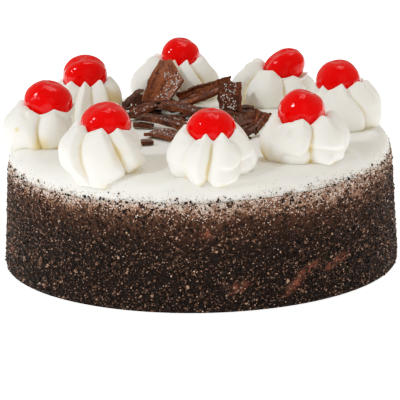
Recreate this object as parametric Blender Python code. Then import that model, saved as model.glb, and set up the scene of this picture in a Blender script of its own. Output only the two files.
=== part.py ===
"""Black forest cake: a crumbed round cake with a cream top, piped rosettes, cherries and chocolate shards.

Units are metres and +Z is up. The origin is the centre of the cake's flat underside.
The front of the cake faces -Y. Angles in plan are counted counter-clockwise from the front.
"""

import random
from math import atan2, cos, hypot, pi, radians, sin, sqrt, tau

import bmesh
import bpy
from mathutils import Euler, Matrix, Vector

MM = 0.001
GAP = 0.3 * MM                      # clearance kept between neighbouring pieces

# Cake and its cream top
CAKE_RADIUS = 90 * MM
FOOT_FLARE = 1.2 * MM               # the crumbed side spreads a little at the foot
FLARE_HEIGHT = 9 * MM
CREAM_RADIUS = 89 * MM
SHOULDER = 8.5 * MM                 # radius of the cream's rounded edge
DECK_HEIGHT = 58.8 * MM             # cream surface at the centre
DECK_TILT = 0.014                   # rise of the cream surface along +X
CRUMB_LINE = 48.4 * MM              # where the cream meets the crumbed side, at the centre
LINE_TILT_X = 0.022
LINE_TILT_Y = -0.010
SIDE_RELIEF = 0.35 * MM             # unevenness of the crumb coat
SIDE_STEPS = 56
SIDE_ROWS = 5
SHOULDER_ROWS = 5

# Piped rosettes
BELLY_AT = 0.32                     # height of the widest place, as a share of the height
FOOT_TUCK = 0.10                    # how far the foot draws in, as a share of the belly
TOP_REACH = 0.60                    # radius at the top, as a share of the belly
DOME = 1.8                          # how full the wall is between belly and top
GROOVE = 0.24                       # depth of the grooves, as a share of the belly
CREST = 0.64                        # a ridge's crest leans towards its right-hand groove
CREST_SHARPNESS = (0.25, 0.45)      # how sharp a crest is at the foot, and how much more at the tip
RIM_LIP = 0.9 * MM                  # cream left standing outside the cherry at the rim
CUP_GAP = 0.7 * MM                  # clearance of the cup round its cherry
FOOT_LIMIT = 86.3 * MM              # a rosette's foot stays this close to the cake's axis
FOOT_RING = 0.74                    # a ring under the foot, as a share of the foot's radius
FOOT_DROOP = 0.62                   # how far a foot follows the cream down over its shoulder
COLUMNS = (0.0, 0.26, 0.64, 0.86)   # places across one ridge that get an edge loop
WALL_ROWS = 6
CUP_ROWS = 2

# Each rosette: centre x and y, belly radius, height of its tips, share by which the rim dips between
# them, twist in degrees, the grooves' angles from the front, how far the ridge after each groove
# reaches, its folds as (angle, half width, reach, height), and the side on which its rim stands higher.
ROSETTES = {
    "rosette_1": dict(at=(5.0, -67.5), belly=20.2, height=20.0, dip=0.15, twist=4,
                      grooves=(-92, -38, 9, 45, 92, 135, 178, 222),
                      reach=(1.0, 1.02, 1.0, 1.03, 0.97, 0.98, 1.0, 0.98),
                      folds=((42, 62, 1.0, 7.5),), lean=(0, 0.0)),
    "rosette_2": dict(at=(46.0, -44.5), belly=20.6, height=18.4, dip=0.15, twist=6,
                      grooves=(-98, -50, -20, 12, 78, 122, 166, 212),
                      reach=(1.0, 0.98, 0.97, 1.03, 0.98, 1.0, 0.98, 1.0),
                      folds=((20, 66, 1.02, 6.0),), lean=(0, 0.0)),
    "rosette_3": dict(at=(67.0, 9.0), belly=18.0, height=19.4, dip=0.09, twist=-22,
                      grooves=(-84, -44, 22, 74, 120, 160, 200, 240),
                      reach=(0.96, 1.03, 1.02, 1.0, 0.97, 1.0, 0.98, 1.0),
                      folds=(), lean=(0, 0.0)),
    "rosette_4": dict(at=(35.5, 58.5), belly=19.0, height=15.6, dip=0.10, twist=-10,
                      grooves=(-66, -22, 30, 72, 118, 160, 206, 252),
                      reach=(1.04, 1.0, 0.98, 1.02, 1.0, 0.98, 1.0, 0.98),
                      folds=(), lean=(-95, 0.12)),
    "rosette_5": dict(at=(-9.0, 70.5), belly=19.4, height=19.2, dip=0.13, twist=8,
                      grooves=(-84, -40, 8, 46, 90, 134, 180, 226),
                      reach=(1.03, 1.0, 0.97, 1.03, 1.0, 0.98, 1.0, 0.98),
                      folds=(), lean=(0, 0.0)),
    "rosette_6": dict(at=(-52.5, 39.5), belly=17.6, height=18.4, dip=0.13, twist=6,
                      grooves=(-72, -30, 12, 52, 104, 150, 196, 242),
                      reach=(0.98, 1.0, 1.0, 1.04, 0.98, 1.0, 0.98, 1.0),
                      folds=(), lean=(0, 0.0)),
    "rosette_7": dict(at=(-72.2, -8.5), belly=17.4, height=18.2, dip=0.12, twist=4,
                      grooves=(-112, 2, 70, 112, 156, 202),
                      reach=(1.03, 0.99, 0.98, 1.0, 0.98, 1.0),
                      folds=(), lean=(0, 0.0)),
    "rosette_8": dict(at=(-43.0, -59.5), belly=19.8, height=20.6, dip=0.08, twist=-18,
                      grooves=(-98, -38, 24, 84, 126, 170, 214),
                      reach=(1.02, 0.97, 1.04, 0.98, 1.0, 0.98, 1.0),
                      folds=(), lean=(0, 0.0)),
}

# Each cherry: centre x and y, height of its centre above the cream, its three half axes and its tilt.
CHERRIES = {
    "cherry_1": dict(at=(5.2, -68.0), lift=18.5, size=(11.3, 11.0, 10.7), tilt=(0, 0)),
    "cherry_2": dict(at=(45.6, -43.5), lift=19.2, size=(10.7, 10.6, 10.8), tilt=(0, 14)),
    "cherry_3": dict(at=(64.0, 13.0), lift=19.4, size=(10.4, 10.2, 10.2), tilt=(0, -6)),
    "cherry_4": dict(at=(40.2, 58.5), lift=15.6, size=(10.6, 8.9, 8.3), tilt=(0, -34)),
    "cherry_5": dict(at=(-8.3, 71.5), lift=19.1, size=(9.4, 9.2, 9.4), tilt=(0, 10)),
    "cherry_6": dict(at=(-52.7, 41.0), lift=19.0, size=(10.7, 10.2, 9.8), tilt=(0, -8)),
    "cherry_7": dict(at=(-68.4, -7.5), lift=18.3, size=(11.4, 10.8, 10.6), tilt=(0, 12)),
    "cherry_8": dict(at=(-41.6, -56.0), lift=19.6, size=(11.4, 10.8, 10.4), tilt=(0, -12)),
}
CHERRY_DIMPLE = 1.2 * MM
CHERRY_STEPS = 14
CHERRY_RINGS = 8

# Each shard: length and thickness; how far it reaches to the left and to the right of its centre
# line at its start, middle and end; curl across the width in degrees and bow along the length;
# place of its middle; height of its lowest point above the cream; and its turns about X, Y and Z.
SHARDS = {
    "chocolate_sail": dict(size=(28, 1.3), left=(9, 7, 2), right=(2, 11, 3), curl=70, bow=1.2,
                           at=(-16.0, 50.3), lift=0.3, turn=(4, -47, 80)),
    "chocolate_plank": dict(size=(27, 1.6), left=(4, 4, 3), right=(4, 4, 3), curl=90, bow=0.8,
                            at=(3.0, 43.6), lift=0.3, turn=(66, -21, -6)),
    "chocolate_square": dict(size=(15.5, 1.4), left=(3, 6.5, 5), right=(1, 3, 5.5), curl=24, bow=0.6,
                             at=(15.3, 35.0), lift=0.3, turn=(4, -54, 96)),
    "chocolate_flake_1": dict(size=(8, 1.2), left=(2, 3, 2), right=(2, 2, 2), curl=40, bow=0.3,
                              at=(21.5, 39.0), lift=0.3, turn=(0, 0, 4)),
    "chocolate_rod": dict(size=(11, 1.4), left=(2.5, 2.5, 2), right=(2.5, 2.5, 2), curl=80, bow=0.4,
                          at=(25.0, 22.5), lift=0.3, turn=(10, 0, 12)),
    "chocolate_curl": dict(size=(14, 1.4), left=(2, 3, 4), right=(2, 4, 6.5), curl=120, bow=0.8,
                           at=(26.0, -4.5), lift=0.3, turn=(20, -72, 50)),
    "chocolate_flake_2": dict(size=(12, 1.2), left=(1, 3, 2), right=(2, 3, 2), curl=30, bow=0.6,
                              at=(19.0, 5.5), lift=0.3, turn=(24, -8, 24)),
    "chocolate_stick_1": dict(size=(20, 2.0), left=(3, 4, 3), right=(3, 3, 3), curl=60, bow=0.8,
                              at=(-8.6, 30.8), lift=0.3, turn=(14, 10, -18)),
    "chocolate_chip_1": dict(size=(13, 1.4), left=(4, 5, 2), right=(3, 4, 3), curl=90, bow=0.8,
                             at=(-25.5, 33.0), lift=0.3, turn=(20, -14, 30)),
    "chocolate_stick_2": dict(size=(25, 2.2), left=(2.5, 3, 3), right=(2.5, 3, 3), curl=50, bow=0.8,
                              at=(-16.0, 9.2), lift=0.3, turn=(6, 6, -32)),
    "chocolate_stick_3": dict(size=(15, 1.8), left=(2, 2, 1.5), right=(2, 2, 1.5), curl=50, bow=0.4,
                              at=(-28.5, 12.0), lift=0.3, turn=(0, 0, -12)),
    "chocolate_stick_4": dict(size=(12, 1.4), left=(1.5, 1.5, 1), right=(1.5, 1.5, 1), curl=40, bow=0.4,
                              at=(-37.0, 55.0), lift=0.3, turn=(0, 0, -38)),
    "chocolate_chip_2": dict(size=(15, 1.6), left=(3, 6, 4), right=(4, 4, 4), curl=36, bow=0.6,
                             at=(-17.0, -8.0), lift=0.3, turn=(0, 0, -38)),
    "chocolate_chip_3": dict(size=(6.5, 1.5), left=(2, 2.5, 1.5), right=(2, 2.5, 1.5), curl=20, bow=0.2,
                             at=(-24.2, -18.5), lift=0.3, turn=(0, 0, -4)),
}
SHARD_ACROSS = 4                    # divisions across the width
SHARD_ALONG = 4                     # divisions along the length
SHARD_JAG = 0.6 * MM                # how far a broken edge strays

# Finishes: colour, roughness, metallic
FINISHES = {
    "crumb_coat": ((0.045, 0.026, 0.018), 0.85, 0.0),
    "whipped_cream": ((0.87, 0.85, 0.78), 0.45, 0.0),
    "cherry": ((0.75, 0.005, 0.005), 0.12, 0.0),
    "chocolate": ((0.085, 0.033, 0.018), 0.40, 0.0),
}


def clear_scene():
    for obj in list(bpy.data.objects):
        bpy.data.objects.remove(obj, do_unlink=True)


def make_materials():
    materials = {}
    for name, (colour, roughness, metallic) in FINISHES.items():
        material = bpy.data.materials.new(name)
        material.use_nodes = True
        shader = material.node_tree.nodes["Principled BSDF"]
        shader.inputs["Base Color"].default_value = (*colour, 1.0)
        shader.inputs["Roughness"].default_value = roughness
        shader.inputs["Metallic"].default_value = metallic
        materials[name] = material
    return materials


def add_object(name, bm, material, smooth_angle=40):
    """Turn a closed bmesh into an object with its faces pointing out."""
    bmesh.ops.recalc_face_normals(bm, faces=bm.faces)
    mesh = bpy.data.meshes.new(name)
    bm.to_mesh(mesh)
    bm.free()
    mesh.shade_smooth()
    mesh.set_sharp_from_angle(angle=radians(smooth_angle))
    mesh.materials.append(material)
    obj = bpy.data.objects.new(name, mesh)
    bpy.context.collection.objects.link(obj)
    return obj


def deck(x):
    """Height of the cream surface, which rises a little along +X."""
    return DECK_HEIGHT + DECK_TILT * x


def crumb_line(x, y):
    return CRUMB_LINE + LINE_TILT_X * x + LINE_TILT_Y * y


def cream_surface(x, y):
    """Height of the cream at a place on the deck or out on its rounded shoulder."""
    beyond = min(hypot(x, y) - (CREAM_RADIUS - SHOULDER), SHOULDER)
    if beyond <= 0:
        return deck(x)
    return deck(x) - SHOULDER + sqrt(SHOULDER * SHOULDER - beyond * beyond)


def skin(bm, rings, bottom=None, top=None):
    """Join rings of vertices into one closed skin, with an optional point to close each end."""
    steps = len(rings[0])
    for low, high in zip(rings, rings[1:]):
        for i in range(steps):
            j = (i + 1) % steps
            bm.faces.new((low[i], low[j], high[j], high[i]))
    for ring, point in ((rings[0], bottom), (rings[-1], top)):
        if point is None:
            bm.faces.new(ring)
        else:
            for i in range(steps):
                bm.faces.new((ring[i], ring[(i + 1) % steps], point))


def build_cake(material):
    """The crumbed cake: a turned side with an uneven coat and a flat underside."""
    rng = random.Random(3)
    bm = bmesh.new()
    rings = []
    for row in range(SIDE_ROWS + 1):
        ring = []
        for step in range(SIDE_STEPS):
            angle = tau * step / SIDE_STEPS
            x, y = CAKE_RADIUS * cos(angle), CAKE_RADIUS * sin(angle)
            z = crumb_line(x, y) * row / SIDE_ROWS
            flare = FOOT_FLARE * max(0.0, 1 - z / FLARE_HEIGHT) ** 2
            radius = CAKE_RADIUS + flare - rng.uniform(0, 2 * SIDE_RELIEF)
            ring.append(bm.verts.new((radius * cos(angle), radius * sin(angle), z)))
        rings.append(ring)
    skin(bm, rings)
    return add_object("cake", bm, material)


def build_cream_top(material):
    """The cream layer: a disc with a rounded shoulder and a gently tilted top."""
    bm = bmesh.new()
    rings = [[] for _ in range(SHOULDER_ROWS + 2)]
    for step in range(SIDE_STEPS):
        angle = tau * step / SIDE_STEPS
        c, s = cos(angle), sin(angle)
        x, y = CREAM_RADIUS * c, CREAM_RADIUS * s
        base = crumb_line(x, y) + GAP
        shoulder_base = deck(x) - SHOULDER
        rings[0].append(bm.verts.new((x, y, base)))
        rings[1].append(bm.verts.new((x, y, max(shoulder_base, base + GAP))))
        for row in range(1, SHOULDER_ROWS + 1):
            turn = pi / 2 * row / SHOULDER_ROWS
            radius = CREAM_RADIUS - SHOULDER * (1 - cos(turn))
            x, y = radius * c, radius * s
            rings[row + 1].append(bm.verts.new((x, y, cream_surface(x, y))))
    skin(bm, rings)
    return add_object("cream_top", bm, material)


def belly_profile(share):
    """Radius of a rosette at a share of its height, as a share of its belly radius."""
    if share < BELLY_AT:
        return 1 - FOOT_TUCK * (1 - share / BELLY_AT) ** 2
    rise = (share - BELLY_AT) / (1 - BELLY_AT)
    return TOP_REACH + (1 - TOP_REACH) * (1 - rise ** DOME)


def ridge(across, share):
    """Cross-section of one piped ridge: a leaning swell that is sharper towards its tip."""
    side = 1 - across / CREST if across < CREST else (across - CREST) / (1 - CREST)
    round_ridge = sqrt(max(0.0, 1 - side * side))
    sharp_ridge = 1 - side
    blunt, tip = CREST_SHARPNESS
    return round_ridge + (sharp_ridge - round_ridge) * (blunt + tip * share)


def fold_reach(angle, height, folds):
    """Reach of the folds of cream that lie round the foot, as a share of the belly radius."""
    reach = 0.0
    for middle, half_width, size, top in folds:
        offset = (angle - middle + 180) % 360 - 180
        spread = abs(offset) / half_width
        rise = height / (top * MM)
        if spread < 1 and rise < 1:
            reach = max(reach, size * (0.70 + 0.30 * sqrt(1 - spread * spread)) * sqrt(1 - rise ** 4))
    return reach


def rosette_wall(shape, groove, next_groove, reach, across, share):
    """Angle, radius and height of a point on a rosette's ridged wall."""
    angle = groove + (next_groove - groove) * across + shape["twist"] * (share - BELLY_AT)
    bump = ridge(across, share)
    side, rise = shape["lean"]
    tip = shape["height"] * MM * (1 + rise * cos(radians(angle - side)) * share)
    height = share * tip * (1 - shape["dip"] * (1 - bump) * share)
    depth = GROOVE * (0.6 + 0.8 * share * (1.25 - share))
    radius = belly_profile(share) * reach * (1 - depth * (1 - bump))
    radius = max(radius, fold_reach(angle, height, shape["folds"]))
    return radians(angle - 90), radius * shape["belly"] * MM, height


def build_rosette(name, shape, cherry, material):
    """A piped rosette: ridged wall, rim of pointed ridge tips, and the cup that holds its cherry."""
    bm = bmesh.new()
    x0, y0 = (v * MM for v in shape["at"])
    cup = max(cherry["size"]) * MM + CUP_GAP
    cup_x, cup_y = (v * MM for v in cherry["at"])
    cup_z = deck(cup_x) + cherry["lift"] * MM
    grooves = shape["grooves"]
    spans = [(g, n, r) for g, n, r in zip(grooves, grooves[1:] + (grooves[0] + 360,), shape["reach"])]
    columns = [(g, n, r, across) for g, n, r in spans for across in COLUMNS]

    def clear_of_cup(x, y, z):
        """Push a wall point out until the lip of cream is left round the cherry."""
        level = z - cup_z
        if abs(level) >= cup:
            return x, y
        need = sqrt(cup * cup - level * level) + RIM_LIP
        dx, dy = x - cup_x, y - cup_y
        away = hypot(dx, dy)
        if away >= need:
            return x, y
        return cup_x + dx * need / away, cup_y + dy * need / away

    def settle(x, y, share):
        """Height of the foot below a wall point, drooping over the cream's shoulder."""
        droop = deck(x) - cream_surface(x, y)
        return deck(x) + GAP - FOOT_DROOP * droop * (1 - share) ** 2

    def wall_ring(share, shrink=1.0):
        ring = []
        limit = FOOT_LIMIT + share * shape["belly"] * MM
        for groove, next_groove, reach, across in columns:
            angle, radius, height = rosette_wall(shape, groove, next_groove, reach, across, share)
            x, y = x0 + radius * cos(angle), y0 + radius * sin(angle)
            inward = min(1.0, limit / hypot(x, y))
            x, y = x0 + (x * inward - x0) * shrink, y0 + (y * inward - y0) * shrink
            z = settle(x, y, share) + height
            ring.append(bm.verts.new((*clear_of_cup(x, y, z), z)))
        return ring

    rings = [wall_ring(0.0, FOOT_RING)]
    rings += [wall_ring(row / WALL_ROWS) for row in range(WALL_ROWS + 1)]
    rim = rings[-1]
    for row in range(CUP_ROWS + 1):
        ring = []
        for vert in rim:
            dx, dy = vert.co.x - cup_x, vert.co.y - cup_y
            start = max(-0.98, min(0.6, (vert.co.z - cup_z) / cup))
            fall = atan2(start, sqrt(1 - start * start))
            turn = fall + (-pi / 2 - fall) * row / (CUP_ROWS + 0.8)
            plan = atan2(dy, dx)
            ring.append(bm.verts.new((cup_x + cup * cos(turn) * cos(plan),
                                      cup_y + cup * cos(turn) * sin(plan),
                                      cup_z + cup * sin(turn))))
        rings.append(ring)
    bottom = bm.verts.new((x0, y0, deck(x0) + GAP))
    top = bm.verts.new((cup_x, cup_y, cup_z - cup))
    skin(bm, rings, bottom, top)
    return add_object(name, bm, material, smooth_angle=55)


def build_cherry(name, shape, material):
    """A glazed cherry: a slightly squashed ball with a dimple where its stalk was."""
    bm = bmesh.new()
    size = Vector(shape["size"]) * MM
    rings = []
    for row in range(1, CHERRY_RINGS):
        polar = -pi / 2 + pi * row / CHERRY_RINGS
        ring = []
        for step in range(CHERRY_STEPS):
            angle = tau * step / CHERRY_STEPS
            ring.append(bm.verts.new((cos(polar) * cos(angle), cos(polar) * sin(angle), sin(polar))))
        rings.append(ring)
    skin(bm, rings, bm.verts.new((0, 0, -1)), bm.verts.new((0, 0, 1 - CHERRY_DIMPLE / size.z)))
    x, y = (v * MM for v in shape["at"])
    tilt = Euler((radians(shape["tilt"][0]), radians(shape["tilt"][1]), 0))
    place = Matrix.LocRotScale((x, y, deck(x) + shape["lift"] * MM), tilt, size)
    bmesh.ops.transform(bm, matrix=place, verts=bm.verts)
    return add_object(name, bm, material, smooth_angle=80)


def reach_along(reach, along):
    """How far a shard reaches from its centre line, in straight runs from start to middle to end."""
    start, middle, end = reach
    if along < 0.5:
        return (start + (middle - start) * 2 * along) * MM
    return (middle + (end - middle) * (2 * along - 1)) * MM


def build_shard(name, shape, material, seed):
    """A scraped piece of chocolate: a thin curled plate with broken edges."""
    rng = random.Random(seed)
    bm = bmesh.new()
    length, thickness = shape["size"]
    radius = (max(shape["left"]) + max(shape["right"])) * MM / radians(shape["curl"])
    end_jag = [[rng.uniform(-1, 1) * SHARD_JAG for _ in range(SHARD_ACROSS + 1)] for _ in range(2)]
    sheets = []
    for side in (-0.5, 0.5):
        sheet = []
        for j in range(SHARD_ALONG + 1):
            along = j / SHARD_ALONG
            left, right = reach_along(shape["left"], along), reach_along(shape["right"], along)
            row = []
            for i in range(SHARD_ACROSS + 1):
                turn = (left - (left + right) * i / SHARD_ACROSS) / radius
                shell = radius - side * thickness * MM
                jag = end_jag[0][i] * (1 - along) + end_jag[1][i] * along
                x = (along - 0.5) * length * MM + jag
                z = radius - shell * cos(turn) - shape["bow"] * MM * (2 * along - 1) ** 2
                row.append(bm.verts.new((x, shell * sin(turn), z)))
            sheet.append(row)
        sheets.append(sheet)
    under, over = sheets
    for j in range(SHARD_ALONG):
        for i in range(SHARD_ACROSS):
            bm.faces.new((under[j][i], under[j][i + 1], under[j + 1][i + 1], under[j + 1][i]))
            bm.faces.new((over[j][i], over[j + 1][i], over[j + 1][i + 1], over[j][i + 1]))
    edge = [(0, i) for i in range(SHARD_ACROSS)] + [(j, SHARD_ACROSS) for j in range(SHARD_ALONG)]
    edge += [(SHARD_ALONG, i) for i in range(SHARD_ACROSS, 0, -1)] + [(j, 0) for j in range(SHARD_ALONG, 0, -1)]
    for (j0, i0), (j1, i1) in zip(edge, edge[1:] + edge[:1]):
        bm.faces.new((under[j0][i0], over[j0][i0], over[j1][i1], under[j1][i1]))
    x, y = (v * MM for v in shape["at"])
    turn = Euler([radians(v) for v in shape["turn"]])
    bmesh.ops.transform(bm, matrix=Matrix.LocRotScale((x, y, 0), turn, None), verts=bm.verts)
    lowest = min(vert.co.z - deck(vert.co.x) for vert in bm.verts)
    bmesh.ops.translate(bm, vec=(0, 0, shape["lift"] * MM - lowest), verts=bm.verts)
    return add_object(name, bm, material, smooth_angle=35)


def main():
    clear_scene()
    materials = make_materials()
    build_cake(materials["crumb_coat"])
    build_cream_top(materials["whipped_cream"])
    for (name, shape), cherry in zip(ROSETTES.items(), CHERRIES.values()):
        build_rosette(name, shape, cherry, materials["whipped_cream"])
    for name, shape in CHERRIES.items():
        build_cherry(name, shape, materials["cherry"])
    for seed, (name, shape) in enumerate(SHARDS.items()):
        build_shard(name, shape, materials["chocolate"], seed)


main()
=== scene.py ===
"""Looks of a black forest cake, built round its fixed frame.

The file is laid out as a Blender add-on. Each operator makes one piece or one group of like pieces, and
main() calls them in order. Shapes are worked out in millimetres and turned to metres when a mesh is
written. The front of the cake faces -Y, and angles in plan are counted counter-clockwise from the front.
"""

from collections import namedtuple
from math import cos, pi, radians, sin, tau

import bpy
import numpy as np
from bpy.props import FloatProperty, FloatVectorProperty, IntProperty, PointerProperty
from mathutils import Euler, Matrix, Vector, noise


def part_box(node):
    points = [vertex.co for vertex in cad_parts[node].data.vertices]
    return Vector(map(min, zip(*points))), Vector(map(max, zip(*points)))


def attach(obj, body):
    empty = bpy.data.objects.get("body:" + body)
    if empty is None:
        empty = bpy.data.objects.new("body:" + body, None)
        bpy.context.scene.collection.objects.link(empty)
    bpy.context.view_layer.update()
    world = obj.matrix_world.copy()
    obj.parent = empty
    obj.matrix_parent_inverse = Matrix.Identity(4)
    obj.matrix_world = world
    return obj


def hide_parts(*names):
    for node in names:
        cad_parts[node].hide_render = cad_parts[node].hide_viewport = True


bl_info = {
    "name": "Black Forest Cake",
    "version": (1, 0, 0),
    "blender": (4, 5, 0),
    "location": "View3D > Sidebar > Cake",
    "description": "Builds the looks of a black forest cake round its solids",
    "category": "Object",
}

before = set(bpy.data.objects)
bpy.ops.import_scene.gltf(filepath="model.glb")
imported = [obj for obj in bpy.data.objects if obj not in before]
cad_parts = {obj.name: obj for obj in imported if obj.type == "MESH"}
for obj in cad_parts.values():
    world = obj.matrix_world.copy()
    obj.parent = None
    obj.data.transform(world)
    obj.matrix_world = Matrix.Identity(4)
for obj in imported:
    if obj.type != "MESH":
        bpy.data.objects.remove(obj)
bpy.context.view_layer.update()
MM = 0.001
BODY = "root"

# The cake's main lines, in millimetres
CREAM_INSET = 2.2  # the cream is scraped this far inside its solid
CREAM_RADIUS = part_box("cream_top")[1].x / MM - CREAM_INSET
SIDE_RADIUS = 87.2  # the cake under its crumbs, at the crumb line
FOOT_SPREAD = 2.3  # how much wider the side is at the foot
EVEN_FOOT = 0.02  # share of the side's height in which its unevenness sets in
SHOULDER = 8.5  # radius of the cream's rounded edge
DECK_HEIGHT = 58.8  # cream surface at the centre
DECK_TILT = 0.014  # rise of the cream surface along +X
CRUMB_LINE = 48.4  # where the cream meets the crumbed side, at the centre
LINE_TILT = (0.022, -0.010)  # rise of the crumb line along +X and +Y

# Layers of unevenness: height, size of its swells in mm, seed, and stretch of its pattern where it has one
NOISE_STEP = (17.3, 5.1, 9.7)  # how far each seed moves the pattern
SIDE_LAYERS = ((0.7, 4.0, 1), (0.5, 1.6, 2))
PATCH_LAYERS = ((1.3, 2.4, 9),)
BLOTCH_LAYERS = ((1.0, 1.5, 7),)
CLUMP_LAYERS = ((1.0, 3.2, 3), (0.6, 9.0, 4))
DECK_LAYERS = ((0.30, 26.0, 5, (1, 1, 0.5)), (0.12, 9.0, 6, (0.5, 1.6, 1)))
PIPING_LAYERS = ((0.30, 7.0, 0), (0.10, 2.6, 10))
SWAY_LAYERS = ((1.0, 9.0, 20),)
CHERRY_LAYERS = ((0.018, 0.55, 0), (0.005, 0.2, 10))
DRAG_LAYERS = ((0.6, 0.8, 0, (0.12, 1, 1)), (0.6, 2.4, 1, (0.3, 1, 1)))
ROUGH_LAYERS = ((1.0, 1.6, 3),)
END_LAYERS = ((1.0, 2.2, 5, (0.2, 1, 1)), (0.5, 0.7, 6))
EDGE_LAYERS = ((1.0, 3.0, 7, (1, 0.2, 1)), (0.35, 0.8, 8))

# Piped rosettes. Places on a rosette's wall are an angle from its front and a share of its height.
BELLY_AT = 0.32  # height of the widest place
FOOT_TUCK = 0.16  # how far the foot draws in, as a share of the belly
TOP_REACH = 0.60  # radius at the top, as a share of the belly
DOME = 1.8  # how full the wall is between belly and top
FULL_BELLY_AT = 0.42  # the same lines for a ridge that bulges right up to its tip
FULL_TOP_REACH = 0.74
FULL_DOME = 2.3
TIP_RISE = 0.02  # the tips stand this much higher than the rosette
TIP_POINT = 1.3  # how pointed they are
GROOVE = 0.36  # depth of the grooves, as a share of the belly
FOOT_LIMIT = 84.6  # a rosette's foot stays this close to the cake's axis
FOOT_RINGS = (0.0, 0.5, 0.8, 0.94)  # rings under the foot, as shares of the foot's radius
LIP_ROWS = 5
LIP_BULGE = 0.32  # how far the rim's lip rises, as a share of its width
CUP_ROWS = 6
CUP_BAND = (-0.98, 0.6)  # where a cup may start, as the sine of its angle above its middle
HOLLOW_BLUR = 90  # passes of blur against which hollows are told
HOLLOW_DEPTHS = (0.5, 2.6)  # depths of a hollow at which its painted yellow shade starts and is strongest
HOLLOW_SHADE = 1.1  # strength of the painted yellow shade in hollows and at the foot
FOOT_SHADE = 0.45
FOOT_SHADE_TO = 0.06  # share of the height up to which the painted yellow shade at the foot reaches
UPRIGHT = (0, 0.0)
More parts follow.
